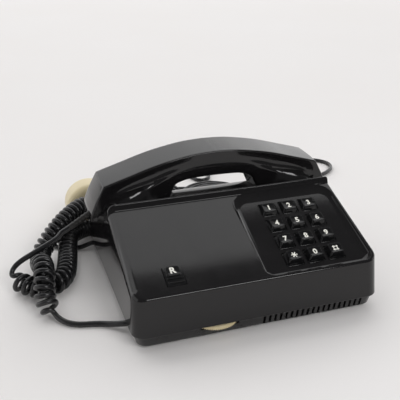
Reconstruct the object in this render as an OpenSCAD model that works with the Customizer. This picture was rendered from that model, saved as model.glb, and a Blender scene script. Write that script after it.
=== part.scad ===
// Corded push-button desk telephone with a curly handset cord and a plugged line cord.
// Millimetres. X runs to the right, Y to the back and Z up; the origin is on the floor under the middle.

/* [Case] */
// Width of the case at its lower edge
case_w = 213; // [205:1:220]
// Depth of the case at its lower edge
case_d = 192; // [188:1:200]
// Height of the case's lower edge above the floor
split_z = 13; // [12.6:0.2:15]
// Height of the front top edge
front_h = 44.8; // [42:0.2:48]
// How far the front wall leans in from its lower edge to its top edge
front_in = 4; // [2:0.5:6]
// How far each side wall leans in from the lower edge to the ridge
side_in = 3.5; // [2:0.5:5]
// Tilt of the sloping panel
panel_a = 18.3; // [17:0.1:19.5]
// Length of the sloping panel from the front edge to the ridge step
panel_len = 98; // [96:0.5:101]
// Height of the ridge in front of the handset
ridge_h = 81; // [79:0.5:83]
// Height of the cradle floor
cradle_h = 57; // [55:0.5:58]
// Height of the deck between the cups, under the handle
deck_h = 72.8; // [71:0.2:74]
// Height of the rear wall's top
rear_h = 40; // [36:0.5:44]
// Wall of the case and the tray
wall = 2.5; // [2:0.1:3]
// Plan radius of the case's corners
corner_r = 11; // [8:0.5:14]

/* [Tray] */
// Height of the feet
foot_h = 2; // [1.5:0.1:3]
// Radius of a foot
foot_r = 6; // [5:0.25:7]
// How far the tray's band slopes in on its way down
band_in = 8; // [6:0.5:9]
// Number of grille slots
grille_n = 19; // [10:1:20]
// Width of a grille slot
grille_w = 2; // [1.5:0.1:2.6]
// Spacing of the grille slots
grille_pitch = 4.85; // [4.4:0.05:5]
// Radius of the screw posts
post_r = 4; // [3.5:0.1:5]
// Radius of the case screws
screw_r = 1.5; // [1.2:0.1:1.8]

/* [Keypad] */
// Spacing of the keys
key_pitch = 19; // [18.5:0.1:19.5]
// Width of a key
key_w = 14.4; // [13:0.1:15]
// Length of a key up the slope
key_l = 12.4; // [11:0.1:13.5]
// How far a key goes down
key_travel = 2.5; // [1.5:0.1:2.8]
// Middle of the keypad, to the right of the case's middle
keypad_x = 54.5; // [53:0.5:55.5]
// First row of keys, up the slope from the front edge
keypad_u = 20.1; // [19:0.1:21]
// Depth of the dish around the keys
dish_depth = 5; // [4:0.25:6]
// Radius of the dish's hollow edges
dish_r = 6; // [5.5:0.25:7]
// Width of the recall button
recall_w = 15.6; // [14:0.1:17]
// Length of the recall button up the slope
recall_l = 19.4; // [18:0.1:20.5]
// Gap around every button
button_gap = 0.35; // [0.3:0.05:0.5]

/* [Handset] */
// Overall length of the handset
handset_l = 230; // [228:1:234]
// Width of the handle from front to back
handle_w = 38; // [34:0.5:39]
// Height of the handle's top above the floor
handle_top = 110.2; // [108:0.2:112]
// Thickness of the handle at its middle
handle_t = 23; // [20:0.1:24]
// Distance of each cup's middle from the handset's end
cup_end = 35; // [34:0.5:37]
// Radius of a cup at its rim
cup_r = 33; // [32:0.25:34]
// Wall of the handset
handset_wall = 2.4; // [2:0.1:3]
// Radius of the ear cap and the mouth cap
cap_r = 28; // [26:0.25:29]
// Gap between the handset and the cradle
rest_gap = 0.4; // [0.3:0.05:0.6]

/* [Hook] */
// How far the hook plungers rise
hook_travel = 5; // [3:0.5:5.5]
// Radius of a plunger
plunger_r = 3; // [2.5:0.1:3.5]
// Gap around a plunger
plunger_gap = 0.3; // [0.25:0.05:0.5]

/* [Volume wheel] */
// Radius of the wheel
wheel_r = 20; // [19:0.25:21]
// Thickness of the wheel
wheel_t = 2.6; // [2:0.1:3]
// How far the wheel stands out past the case's lower edge
wheel_proud = 2; // [1.5:0.25:2.5]
// Place of the wheel to the side of the case's middle
wheel_x = -36; // [-40:1:-32]
// Radius of the wheel's shaft
shaft_r = 2.7; // [2:0.1:3]

/* [Cords] */
// Diameter of both cords
cord_d = 4.4; // [4:0.1:4.6]
// Radius of the curls at the middle of the cord
curl_r = 7.1; // [7:0.05:7.4]
// Radius of the round line plug
plug_r = 24; // [22:0.25:24.5]
// Thickness of the round line plug
plug_t = 24; // [20:0.5:26]

/* [Hidden] */
$fn = 64;
eps = 0.01;

// A polygon moved inwards by t, corner by corner; the corners run anticlockwise.
function unit(v) = v / norm(v);
function turned(v) = [for (i = [len(v) - 1:-1:0]) v[i]];
function inward(v, t) = [for (i = [0:len(v) - 1]) let (a = v[(i + len(v) - 1) % len(v)], b = v[i],
    c = v[(i + 1) % len(v)], p = unit(b - a), q = unit(c - b), m = [-p[1], p[0]], n = [-q[1], q[0]])
    b + t * (m + n) / (1 + m * n)];

// Case outline: the wheel's rim and the rear edge lie equally far from the origin.
yf = wheel_proud - (case_d + wheel_proud) / 2;
yr = yf + case_d;
hw = case_w / 2;
y_top = yf + front_in;
panel_y = y_top + panel_len * cos(panel_a);
panel_z = front_h + panel_len * sin(panel_a);
ridge_y = panel_y + 1.6;
ridge_flat = 1.5;
deck_y0 = ridge_y + ridge_flat + 4;
deck_y1 = 36.5;
rear_in = 2.5;
over = 5;
function side_view(ridge) = concat([[yf - over, split_z - over],
    [yf - over, front_h - (front_in + over) * tan(panel_a)], [panel_y, panel_z]], ridge,
    [[deck_y0, deck_h], [deck_y1, deck_h], [yr - rear_in, rear_h], [yr + over, rear_h - over * 0.4],
    [yr + over, split_z - over]]);
outer_view = side_view([[ridge_y, ridge_h], [ridge_y + ridge_flat, ridge_h]]);
inner_view = inward(turned(side_view([[ridge_y + ridge_flat / 2, ridge_h]])), wall);

// Handset: centred over the cradle, on its cups.
hs_y = 44;
hs_z = cradle_h + rest_gap;
well_gap = 2;
well_r = cup_r + well_gap;
end_r = 180;
hs_half = handset_l / 2;
cup_x = hs_half - cup_end;
hs_low = handle_top - handle_t;
arch_end = 21;
arch_half = hs_half - arch_end;
arch_right = concat([[hs_half, hs_z], [hs_half - 0.4, hs_z + 7], [hs_half - 2.6, hs_z + 14],
    [hs_half - 5.4, hs_z + 19], [hs_half - 9.4, hs_z + 26], [hs_half - 14, handle_top - 21]],
    [for (p = [[1, 18.8], [0.808, 13.6], [0.67, 9.6], [0.532, 6.2], [0.383, 3.4], [0.234, 1.2], [0.106, 0.3]])
        [p[0] * arch_half, handle_top - p[1]]]);
arch_left = [for (i = [len(arch_right) - 1:-1:0]) [-arch_right[i][0], arch_right[i][1]]];
cup_in = cup_x - cup_r + 1;
arch_low = concat([[-cup_in, hs_z]], [for (p = [[-0.77, 6], [-0.625, 2.6], [-0.5, 1], [0, 0], [0.5, 1],
    [0.625, 2.6], [0.77, 6]]) [p[0] * cup_in, hs_low - p[1]]], [[cup_in, hs_z]]);
deck_half = cup_in - 10;
pocket_gap = 2.5;
pocket_w = handle_w + 2 * pocket_gap;
arch = concat(arch_right, arch_left, arch_low);
cup_profile = [[0, 0], [cup_r, 0], [cup_r - 0.3, 5], [cup_r - 3.5, 13], [cup_r - 8.5, 21],
    [cup_r - 14, 28], [0, 28]];

// Buttons, measured from the sloping panel's own plane.
key_top = 0.4;
floor_w = -dish_depth - wall;
flange_gap = 0.3;
flange_t = 1.5;
flange_out = 1.2;
stem_r = 2;
stem_end = floor_w - flange_gap - flange_t - 2;
mat_top = stem_end - key_travel - flange_gap;
mat_t = 2;
mat_w = 60;
board_t = 1.6;
board_top = mat_top - mat_t;
recall_x = -67.8;
recall_u = 18.7;
dish_x0 = 4.7;
dish_x1 = hw - 5;
dish_u0 = 2.2;
dish_u1 = panel_len + 3;
sweep_r = 13;
dish_corner = dish_r + 3;
board_x = [-90, hw - 8.5];
board_u = [4, keypad_u + 3 * key_pitch + 12.9];
board_posts = [[-78, 34], [-84, 80], [0, 8], [0, 84], [hw - 12.5, 36], [hw - 14.5, 84]];
board_screw_r = 1;

// Tray: band, grille, screw posts and what stands on its floor.
floor_z = foot_h + wall;
post_x = hw - 17;
post_y0 = yf + 26;
post_y1 = yr - 22;
head_r = screw_r * 2;
head_t = 1.6;
pilot_gap = 0.05;
post_gap = 0.8;
grille_x = 2.8;
wheel_y = yf - wheel_proud + wheel_r;
wheel_gap = 0.5;
wheel_z = split_z - wheel_gap - wheel_t - 0.6;
main_z = floor_z + 5;
main_w = 124;
main_d = 82;
main_y = -18;
standoff_r = 3;
standoff_in = 6;
ringer_r = 26;
ringer_x = 46;
ringer_in = 45;
ringer_y = yf + ringer_in;
ringer_step = 12;
ringer_h = 7;
terminal = [12, 26, 9];
terminal_pitch = 6;
yoke_w = 10;
yoke_over = 6;
leg_w = 12;
leg_t = 4;
receiver_step = 8;
receiver_h = 6;
screw_l = 10;
receiver_r = 20;
microphone_r = 9;
weight_l = 36;

// Hook: a bar under the cradle floor with a leg down to the switch.
bar_top = cradle_h - wall - hook_travel - 1;
bar_t = 4;
leg_end = main_z + board_t + 9.4;

// Places where the cords leave the tray.
gland_z = 7.5;
gland_y = yf + 32;
gland_in = 3;
gland_w = 17.4;
gland_h = 8;
gland_t = 5;
line_y = yr - 17;
line_z = 7;
line_r = 4;
band_x = function (z) hw - band_in * (split_z - z) / (split_z - foot_h);
gland_x = -band_x(gland_z) + gland_in;
line_x = -band_x(line_z) - 2;

// The boot at the handset's left end.
boot_len = 24;
boot_r = 4;
boot_back = 2;
boot_root = [-max(hs_half, cup_x + cup_r) + 3.5, hs_y - 8, hs_z + 4.2];
boot_dir = [-0.87, -0.03, -0.492];
boot_tip = boot_root + boot_len * boot_dir;
boot_gap = 0.3;

// Route of the handset cord from the tray to the first curl.
lead_in = [[gland_x, gland_y, gland_z], [gland_x - 3, gland_y, gland_z], [gland_x - 6, gland_y, gland_z],
    [-110, -58, 4.5], [-121, -51, 2.6], [-133, -47, 2.5], [-144, -46, 2.5], [-153, -40, 2.6],
    [-159, -31, 4.5]];
// Route of the curls' own middle line, over itself twice and round behind the case.
curl_line = [[-162, -22, 11.5], [-163, -15, 19], [-161, -5, 26.5], [-160, 6, 29.4], [-160, 17, 27.8],
    [-160, 28, 20.8], [-160, 40, 14.2], [-159.5, 51, 12.6], [-156, 61, 15.6], [-148, 69, 23],
    [-136, 79, 31.2], [-124, 90, 35.4], [-110, 103, 36.5], [-92, 110, 34.5], [-70, 112, 32],
    [-46, 113, 29.5], [-23, 118, 26.5], [-8, 134, 22], [-12, 154, 16.5], [-28, 161, 12.5], [-41, 149, 10.4],
    [-44, 132, 9.6], [-55, 118, 9.6], [-72, 112, 9.6], [-90, 111, 9.6], [-107, 108, 9.8],
    [-119, 98, 12], [-127, 86, 14.4], [-131, 70, 12.6], [-134, 54, 9.8], [-137, 38, 9.6],
    [-140, 26, 9.6], [-146, 15.5, 9.6], [-155, 9, 9.6], [-166, 9.5, 9.6], [-175, 16.5, 9.8],
    [-182, 25, 10.8]];
// Route of the lead from the last curl up to the boot.
lead_out = [[-187, 31, 14.5], [-186.5, 33, 20.5], [-179, 33.6, 24.2], [-168, 34, 29], [-156, 34.4, 35],
    [-145, 34.6, 40.5], boot_tip - 8 * -boot_dir, boot_tip + (boot_gap + 4) * boot_dir,
    boot_tip + boot_gap * boot_dir];
curl_pitch = 7.2;
loose_pitch = 12;
turn_pitch = 9.2;
loose_knots = [12, 24];

plug_c = [-98, 135, plug_r];

// Route of the line cord from the case to its put-away coil, and from there to the plug.
coil_c = [40, 149];
coil_turns = 7;
coil_gap = 0.5;
coil_step = cord_d + coil_gap;
coil_out = 32;
tie_t = 1;
coil_z = cord_d / 2 + tie_t + 0.2;
cord_z = cord_d / 2 + 0.1;
line_route = [[line_x, line_y, line_z], [line_x - 3, line_y, line_z], [line_x - 6, line_y, line_z - 0.8],
    [-117, 81.5, 3.4], [-124, 84, cord_z], [-132, 88, cord_z], [-141, 93, cord_z], [-148, 103, cord_z],
    [-147, 117, cord_z], [-140, 133, cord_z], [-127, 153, cord_z], [-107, 172, cord_z],
    [-80, 187, cord_z], [-46, 196, cord_z], [-10, 195, cord_z], [16, 186, 2.8],
    [coil_c[0] - 10, coil_c[1] + coil_out, coil_z], [coil_c[0] - 5, coil_c[1] + coil_out, coil_z]];
tail_route = [[coil_c[0] + 5, coil_c[1] + coil_out, coil_z + coil_step],
    [coil_c[0] + 10, coil_c[1] + coil_out, coil_z + coil_step], [66, 178, 6], [86, 172, cord_z],
    [114, 167, cord_z], [146, 166, cord_z], [177, 170, cord_z], [199, 178, cord_z], [213, 190, cord_z],
    [217, 204, cord_z], [210, 217, cord_z], [192, 227, cord_z], [162, 236, cord_z], [128, 242, cord_z],
    [96, 241, cord_z], [74, 231, cord_z], [63, 222, cord_z], [59.5, 212.5, cord_z], [56.7, 205.8, cord_z],
    [50, 203, cord_z], [43.3, 205.8, cord_z], [40.5, 212.5, cord_z], [37, 222, cord_z], [27, 236, cord_z],
    [8, 248, cord_z], [-22, 252, cord_z], [-48, 243, cord_z], [-63, 226, cord_z], [-68, 207, 6],
    [-67, 190, 7.6], [-63, 174, 4], [-58, 159, 5], [-56.5, 149, 10.5], [-57.5, 142, 17], [-62, 138, 22],
    [-67, 137, plug_r], [-70, 137, plug_r], [plug_c[0] + plug_r, 137, plug_r]];

function spline(p, q, r, s, t) = 0.5 * (2 * q + (r - p) * t + (2 * p - 5 * q + 4 * r - s) * t * t
    + (3 * q - p - 3 * r + s) * t * t * t);
function knot(v, i) = i < 0 ? 2 * v[0] - v[1]
    : i >= len(v) ? 2 * v[len(v) - 1] - v[len(v) - 2] : v[i];
function smooth(v, m) = concat([for (i = [0:len(v) - 2], k = [0:m - 1])
    spline(knot(v, i - 1), v[i], v[i + 1], knot(v, i + 2), k / m)], [v[len(v) - 1]]);
function on_floor(v) = [for (p = v) [p[0], p[1], max(p[2], cord_z)]];
function running(v) = [for (i = 0, t = 0; i < len(v); t = i + 1 < len(v) ? t + norm(v[i + 1] - v[i]) : t,
    i = i + 1) t];
function table(v, c) = let (s = running(v)) [for (i = [0:len(v) - 1]) [s[i], v[i][c]]];

// Points of a list at a steady spacing, ends kept.
function spaced(v, gap) = let (t = [table(v, 0), table(v, 1), table(v, 2)], all = t[0][len(v) - 1][0],
    n = ceil(all / gap)) [for (i = [0:n]) [for (c = [0:2]) lookup(all * i / n, t[c])]];

// Points along a route whose first and last stretch stay straight, square to what they meet.
function routed(v, gap) = concat([v[0]], spaced(smooth([for (i = [1:len(v) - 2]) v[i]], 6), gap),
    [v[len(v) - 1]]);

// A closed tube along points, with a ring of sides at each point; side gives each ring's first corner.
module tube(path, side, r, n) {
    m = len(path);
    along = [for (i = [0:m - 1]) unit(path[min(i + 1, m - 1)] - path[max(i - 1, 0)])];
    u = [for (i = [0:m - 1]) unit(side[i] - (side[i] * along[i]) * along[i])];
    w = [for (i = [0:m - 1]) cross(along[i], u[i])];
    rings = [for (i = [0:m - 1], k = [0:n - 1])
        path[i] + r * (cos(360 * k / n) * u[i] + sin(360 * k / n) * w[i])];
    skin = [for (i = [0:m - 2], k = [0:n - 1], h = [0:1]) let (a = i * n + k, b = i * n + (k + 1) % n)
        h == 0 ? [a, a + n, b] : [b, a + n, b + n]];
    first = [for (k = [1:n - 2]) [0, k, k + 1]];
    last = [for (k = [1:n - 2]) let (o = (m - 1) * n) [o, o + k + 1, o + k]];
    polyhedron(concat(rings, [path[0], path[m - 1]]), concat(skin, first, last), convexity = 20);
}

// Least gap of a tube to itself, for points that are more than a few rings apart.
function least_gap(v, d, apart) = min([for (i = [0:len(v) - 1 - apart], j = [i + apart:len(v) - 1])
    norm(v[i] - v[j])]) - d;

module plan(w, y0, y1, r, z) {
    for (x = [-1, 1], y = [y0 + r, y1 - r]) {
        translate([x * (w / 2 - r), y, z]) cylinder(r = r, h = eps, $fn = 32);
    }
}

// A block with leaning walls and round corners, between two heights.
module drafted(inset, z0, z1) {
    front = front_in / (front_h - split_z);
    side = side_in / (ridge_h - split_z);
    rear = rear_in / (rear_h - split_z);
    hull() {
        for (z = [z0, z1]) plan(case_w - 2 * side * (z - split_z) - 2 * inset,
            yf + front * (z - split_z) + inset, yr - rear * (z - split_z) - inset, corner_r - inset, z);
    }
}

module along_x(points, w) {
    rotate([90, 0, 90]) translate([0, 0, -w / 2]) linear_extrude(w) polygon(points);
}

module along_y(points, w) {
    translate([0, hs_y + w / 2, 0]) rotate([90, 0, 0]) linear_extrude(w) polygon(points);
}

module on_panel() {
    translate([0, y_top, front_h]) rotate([panel_a, 0, 0]) children();
}

module round_rect(w, l, r) {
    square([w - 2 * r, l], center = true);
    square([w, l - 2 * r], center = true);
    for (x = [-1, 1], y = [-1, 1]) translate([x * (w / 2 - r), y * (l / 2 - r)]) circle(r);
}

module at_posts() {
    for (x = [-1, 1], y = [post_y0, post_y1]) translate([x * post_x, y, 0]) children();
}

// Height of the case's roof over a point of the panel or of the rear slope.
function roof(y) = y < deck_y1 ? front_h + (y - y_top) * tan(panel_a)
    : deck_h - (y - deck_y1) * (deck_h - rear_h) / (yr - rear_in - deck_y1);

// Room for the handset's cups and for the ends of its handle, beside the deck.
module cup_room(more) {
    for (x = [-1, 1]) translate([x * cup_x, hs_y, cradle_h - more]) {
        cylinder(r = well_r + more, h = 60);
        translate([x > 0 ? deck_half - cup_x - more : 0, -pocket_w / 2 - more, 0])
            cube([cup_x - deck_half + more, pocket_w + 2 * more, 60]);
    }
}

function key_place(col, row) = [keypad_x + (col - 1) * key_pitch, keypad_u + (3 - row) * key_pitch];

// The dish's hollow edge: plates that widen on a quarter circle from the floor up, on a larger circle at the
// rear, where the wall sweeps up to the ridge.
function hollow(r, h) = h >= r ? 0 : r - sqrt(r * r - (r - h) * (r - h));
module dish_cut() {
    share = [0, 0.03, 0.12, 0.3, 0.55, 0.8, 1];
    heights = concat([for (k = share) k * dish_r], [for (k = [0.65, 0.85, 1, 1.4]) k * sweep_r]);
    hull() for (h = heights) dish_plate(hollow(dish_r, h), hollow(sweep_r, h), h - dish_depth);
}

module dish_plate(inset, back, w) {
    r = dish_corner - inset;
    for (x = [dish_x0 + inset + r, dish_x1 - inset - r], u = [dish_u0 + inset + r, dish_u1 - back - r])
        translate([x, u, w]) cylinder(r = r, h = eps, $fn = 32);
}

module case_outer() {
    intersection() {
        drafted(0, split_z, ridge_h + 2);
        along_x(outer_view, case_w + 10);
    }
}

module case_inner() {
    difference() {
        intersection() {
            drafted(wall, split_z - 2, ridge_h + 1);
            along_x(inner_view, case_w + 10);
        }
        on_panel() translate([dish_x0 - wall, dish_u0 - 12, floor_w])
            cube([dish_x1 - dish_x0 + wall + 20, dish_u1 - dish_u0 + wall + 12, 40]);
        cup_room(wall);
    }
}

module top_case() {
    color("#151517") difference() {
        union() {
            difference() {
                case_outer();
                case_inner();
            }
            for (x = [-1, 1], y = [post_y0, post_y1]) translate([x * post_x, y, floor_z])
                cylinder(r = post_r, h = min(roof(y - post_r), roof(y + post_r)) - 0.3 - floor_z);
            on_panel() for (p = board_posts) translate([p[0], p[1], board_top])
                cylinder(r = 3, h = -board_top - 1);
        }
        on_panel() dish_cut();
        cup_room(0);
        for (x = [-1, 1]) translate([x * cup_x, hs_y, cradle_h - wall - 1])
            cylinder(r = plunger_r + plunger_gap, h = wall + 2);
        on_panel() {
            for (c = [0:2], r = [0:3]) translate([key_place(c, r)[0], key_place(c, r)[1], floor_w - 1])
                linear_extrude(dish_depth) round_rect(key_w + 2 * button_gap, key_l + 2 * button_gap, 1.5);
            translate([recall_x, recall_u, -wall - 1]) linear_extrude(wall + 3)
                round_rect(recall_w + 2 * button_gap, recall_l + 2 * button_gap, 1.2);
            for (p = board_posts) translate([p[0], p[1], board_top - 1])
                cylinder(r = board_screw_r + pilot_gap, h = 7);
        }
        at_posts() translate([0, 0, floor_z - 1]) cylinder(r = screw_r + pilot_gap, h = screw_l + 3);
    }
}

module band_shape(inset, z0, z1) {
    hull() {
        plan(2 * band_x(z0) - 2 * inset, yf + hw - band_x(z0) + inset, yr - hw + band_x(z0) - inset,
            corner_r - inset, z0);
        plan(2 * band_x(z1) - 2 * inset, yf + hw - band_x(z1) + inset, yr - hw + band_x(z1) - inset,
            corner_r - inset, z1 - eps);
    }
}

module base_tray() {
    color("#141416") difference() {
        band_shape(0, foot_h, split_z);
        band_shape(wall, floor_z, split_z + 1);
        for (i = [0:grille_n - 1])
            translate([grille_x + i * grille_pitch - grille_w / 2, yf - 2, foot_h + 0.8])
                cube([grille_w, 14, split_z - foot_h - 1.6]);
        translate([wheel_x - 16, yf - 2, wheel_z - wheel_gap]) cube([32, 14, split_z]);
        translate([-hw - 2, gland_y - gland_w / 2 - 0.3, floor_z]) cube([18, gland_w + 0.6, split_z]);
        translate([line_x - 1, line_y, line_z]) rotate([0, 90, 0]) cylinder(r = line_r, h = 16);
        at_posts() translate([0, 0, foot_h - 1]) cylinder(r = screw_r + 0.2, h = wall + 2);
        at_posts() translate([0, 0, foot_h - 1]) cylinder(r = head_r + 0.2, h = 1 + head_t);
    }
}

module feet() {
    color("#0d0d0d") for (x = [-1, 1], y = [yf + band_in + foot_r + 1, yr - band_in - foot_r - 1])
        translate([x * (hw - band_in - foot_r - 6), y, 0]) cylinder(r = foot_r, h = foot_h);
}

module case_screws() {
    color("#8c8c90") at_posts() {
        translate([0, 0, foot_h]) cylinder(r = head_r, h = head_t);
        translate([0, 0, foot_h + head_t]) cylinder(r = screw_r, h = screw_l);
    }
}

module main_board() {
    color("#2e6b45") {
        translate([-main_w / 2, main_y, main_z]) cube([main_w, main_d, board_t]);
        for (x = [-1, 1], y = [main_y + standoff_in, main_y + main_d - standoff_in])
            translate([x * (main_w / 2 - standoff_in), y, floor_z])
                cylinder(r = standoff_r, h = main_z - floor_z);
    }
}

module transformer() {
    color("#5a4632") translate([20, 10, main_z + board_t]) {
        cube([26, 22, 4]);
        translate([3, 2, 4]) cube([20, 18, 13]);
    }
}

module line_terminal() {
    color("#d8d2c2") translate([-main_w / 2 + standoff_in, main_y + main_d / 2 + 11, main_z + board_t])
        difference() {
        cube(terminal);
        for (i = [0:3]) translate([terminal[0] / 2, terminal[1] / 2 + (i - 1.5) * terminal_pitch, terminal[2] / 3])
            cylinder(r = 1.6, h = terminal[2]);
    }
}

module ringer() {
    color("#3a3a3c") translate([ringer_x, ringer_y, floor_z]) {
        cylinder(r = ringer_r, h = 3);
        translate([0, 0, 3]) cylinder(r = ringer_r - ringer_step, h = ringer_h);
    }
}

module volume_pot() {
    color("#4a4a50") translate([wheel_x, wheel_y, 0]) {
        translate([-7, -7, floor_z]) cube([14, 14, wheel_z - wheel_gap - floor_z]);
        translate([0, 0, floor_z]) cylinder(r = shaft_r, h = split_z - floor_z + 1);
    }
}

module volume_wheel() {
    ribs = 60;
    color("#ece4cc") translate([wheel_x, wheel_y, wheel_z]) difference() {
        linear_extrude(wheel_t) polygon([for (i = [0:2 * ribs - 1])
            (wheel_r - (i % 2) * 0.5) * [cos(180 * i / ribs - 90), sin(180 * i / ribs - 90)]]);
        translate([0, 0, -1]) cylinder(r = shaft_r + 0.3, h = wheel_t + 2);
    }
}

module keypad_board() {
    color("#8a6b32") difference() {
        on_panel() translate([board_x[0], board_u[0], board_top - board_t])
            cube([board_x[1] - board_x[0], board_u[1] - board_u[0], board_t]);
        on_panel() for (p = board_posts) translate([p[0], p[1], board_top - board_t - 1])
            cylinder(r = board_screw_r + 0.2, h = board_t + 2);
        at_posts() cylinder(r = post_r + post_gap, h = ridge_h);
    }
}

module board_screws() {
    color("#9a9a9e") on_panel() for (p = board_posts) translate([p[0], p[1], board_top - board_t]) {
        translate([0, 0, -1.4]) cylinder(r = board_screw_r * 2.2, h = 1.4);
        cylinder(r = board_screw_r, h = board_t + 5);
    }
}

module contact_mat() {
    color("#b9b4aa") on_panel() {
        translate([keypad_x - mat_w / 2, keypad_u - 10, board_top]) cube([mat_w, 3 * key_pitch + 20, mat_t]);
        translate([recall_x - 9, recall_u - 10, board_top]) cube([18, 20, mat_t]);
    }
}

module hook_yoke() {
    color("#2b2b30") {
        translate([-cup_x - yoke_over, hs_y - yoke_w / 2, bar_top - bar_t])
            cube([2 * (cup_x + yoke_over), yoke_w, bar_t]);
        translate([-leg_w / 2, hs_y - leg_t / 2, leg_end]) cube([leg_w, leg_t, bar_top - bar_t - leg_end]);
    }
}

module hook_plungers() {
    color("#1a1a1c") for (x = [-1, 1]) translate([x * cup_x, hs_y, bar_top])
        cylinder(r = plunger_r, h = cradle_h - bar_top);
}

module hook_switch() {
    color("#38383c") translate([-8, hs_y - 6, main_z + board_t]) {
        cube([16, 12, 7]);
        translate([3, 1, 7]) cube([10, 10, leg_end - main_z - board_t - 7 - flange_gap]);
    }
}

// A sprung button: cap, retaining flange under the wall and a stem down to the contact mat.
module button(w, l, low, under, top, taper, stem) {
    shoulder = low + 0.8;
    hull() {
        translate([0, 0, shoulder]) linear_extrude(eps) round_rect(w, l, 1.5, $fn = 32);
        translate([0, 0, top - eps]) linear_extrude(eps)
            round_rect(w - 2 * taper, l - 2 * taper, 1.5, $fn = 32);
    }
    translate([0, 0, under - flange_gap - flange_t]) linear_extrude(shoulder - under + flange_gap + flange_t)
        round_rect(w, l, 1.5);
    translate([0, 0, under - flange_gap - flange_t]) linear_extrude(flange_t)
        round_rect(w + 2 * flange_out, l + 2 * flange_out, 1.5);
    translate([0, 0, stem]) cylinder(r = stem_r, h = under - flange_gap - flange_t - stem);
}

module key(col, row) {
    dish = 30;
    color("#121214") on_panel() translate([key_place(col, row)[0], key_place(col, row)[1], 0]) difference() {
        button(key_w, key_l, -dish_depth, floor_w, key_top, 1.3, stem_end);
        translate([0, 0, key_top + dish - 0.7]) sphere(dish);
    }
}

module key_1() { key(0, 0); }
module key_2() { key(1, 0); }
module key_3() { key(2, 0); }
module key_4() { key(0, 1); }
module key_5() { key(1, 1); }
module key_6() { key(2, 1); }
module key_7() { key(0, 2); }
module key_8() { key(1, 2); }
module key_9() { key(2, 2); }
module key_star() { key(0, 3); }
module key_0() { key(1, 3); }
module key_hash() { key(2, 3); }

module recall_button() {
    color("#151517") on_panel() translate([recall_x, recall_u, 0]) {
        button(recall_w, recall_l, -1, -wall, 0.6, 0.4, stem_end);
        for (u = [-6.2, -1.6]) translate([-recall_w / 2 + 1.2, u - 0.8, 0.6 - eps])
            cube([recall_w - 2.4, 1.6, 0.9]);
    }
}

module handset_plan() {
    for (s = [-1, 1]) intersection() {
        translate([s > 0 ? 0 : -hs_half - 1, -handle_w / 2]) square([hs_half + 1, handle_w]);
        translate([s * (hs_half - end_r), 0]) circle(end_r);
    }
}

module handset_solid(inset) {
    intersection() {
        along_y(inset == 0 ? arch : inward(arch, inset), handle_w - 2 * inset);
        translate([0, hs_y, 0]) linear_extrude(200) handset_plan();
    }
    for (x = [-1, 1]) translate([x * cup_x, hs_y, hs_z + inset]) rotate_extrude()
        polygon([for (p = cup_profile) [max(0, p[0] - inset), p[1] * (28 - 2 * inset) / 28]]);
}

module handset_shell() {
    color("#161618") difference() {
        handset_solid(0);
        handset_solid(handset_wall);
        for (x = [-1, 1]) translate([x * cup_x, hs_y, hs_z - 1])
            cylinder(r = cap_r + 0.1, h = handset_wall + 2);
        boot_shape(0.1, 8);
    }
}

module ear_cap() {
    color("#18181a") translate([cup_x, hs_y, hs_z]) difference() {
        cylinder(r = cap_r, h = handset_wall);
        for (k = [0:7]) rotate(45 * k) translate([11, 0, -1]) cylinder(r = 1.5, h = handset_wall + 2);
    }
}

module mouth_cap() {
    color("#18181a") translate([-cup_x, hs_y, hs_z]) difference() {
        cylinder(r = cap_r, h = handset_wall);
        for (k = [0:5]) rotate(60 * k) translate([6, 0, -1]) cylinder(r = 1.2, h = handset_wall + 2);
    }
}

module receiver() {
    color("#6e6e72") translate([cup_x, hs_y, hs_z + handset_wall]) {
        cylinder(r = receiver_r, h = 5);
        translate([0, 0, 5]) cylinder(r = receiver_r - receiver_step, h = receiver_h);
    }
}

module microphone() {
    color("#7c7c80") translate([-cup_x, hs_y, hs_z + handset_wall]) cylinder(r = microphone_r, h = 7);
}

module handset_weight() {
    color("#77777b") translate([-weight_l / 2, hs_y - 10, hs_low + handset_wall + 0.1])
        cube([weight_l, 20, 8]);
}

module boot_shape(grow, back) {
    flat = norm([boot_dir[0], boot_dir[1]]);
    translate(boot_root) rotate([0, 0, atan2(boot_dir[1], boot_dir[0])])
        rotate([0, atan2(flat, boot_dir[2]), 0]) {
            cylinder(r1 = boot_r + grow, r2 = cord_d / 2 + 0.7 + grow, h = boot_len);
            translate([0, 0, -back]) cylinder(r = boot_r + grow, h = back);
        }
}

module handset_boot() {
    color("#101012") boot_shape(0, boot_back);
}

module base_gland() {
    color("#2a211c") translate([gland_x, gland_y - gland_w / 2, floor_z])
        cube([gland_t, gland_w, gland_h]);
}

// Middle of the curls and of the leads, with the side that each ring starts from.
lead_a = concat([lead_in[0]], spaced(smooth([for (i = [1:len(lead_in) - 1]) lead_in[i]], 6), 9));
lead_b = concat(spaced(smooth([for (i = [0:len(lead_out) - 2]) lead_out[i]], 6), 9),
    [lead_out[len(lead_out) - 1]]);
mid = smooth(concat([lead_in[len(lead_in) - 1]], curl_line, [lead_out[0]]), 10);
mid_t = [table(mid, 0), table(mid, 1), table(mid, 2)];
mid_all = mid_t[0][len(mid) - 1][0];
function mid_at(s) = [for (c = [0:2]) lookup(s, mid_t[c])];
function mid_dir(s) = unit(mid_at(min(s + 2, mid_all)) - mid_at(max(s - 2, 0)));
function mid_side(s, a) = let (t = mid_dir(s), h = unit(cross(t, [0, 0, 1])), v = cross(h, t))
    cos(a) * h + sin(a) * v;
function knot_s(i) = mid_t[0][(i + 1) * 10][0];
function pitch_at(s) = lookup(s, [[0, turn_pitch], [knot_s(8), turn_pitch], [knot_s(10), curl_pitch],
    [knot_s(loose_knots[0]), curl_pitch], [knot_s(loose_knots[0] + 1), loose_pitch],
    [knot_s(loose_knots[1] - 1), loose_pitch], [knot_s(loose_knots[1]), curl_pitch],
    [knot_s(29), curl_pitch], [knot_s(31), turn_pitch], [knot_s(35), turn_pitch], [mid_all, curl_pitch]]);
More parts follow.
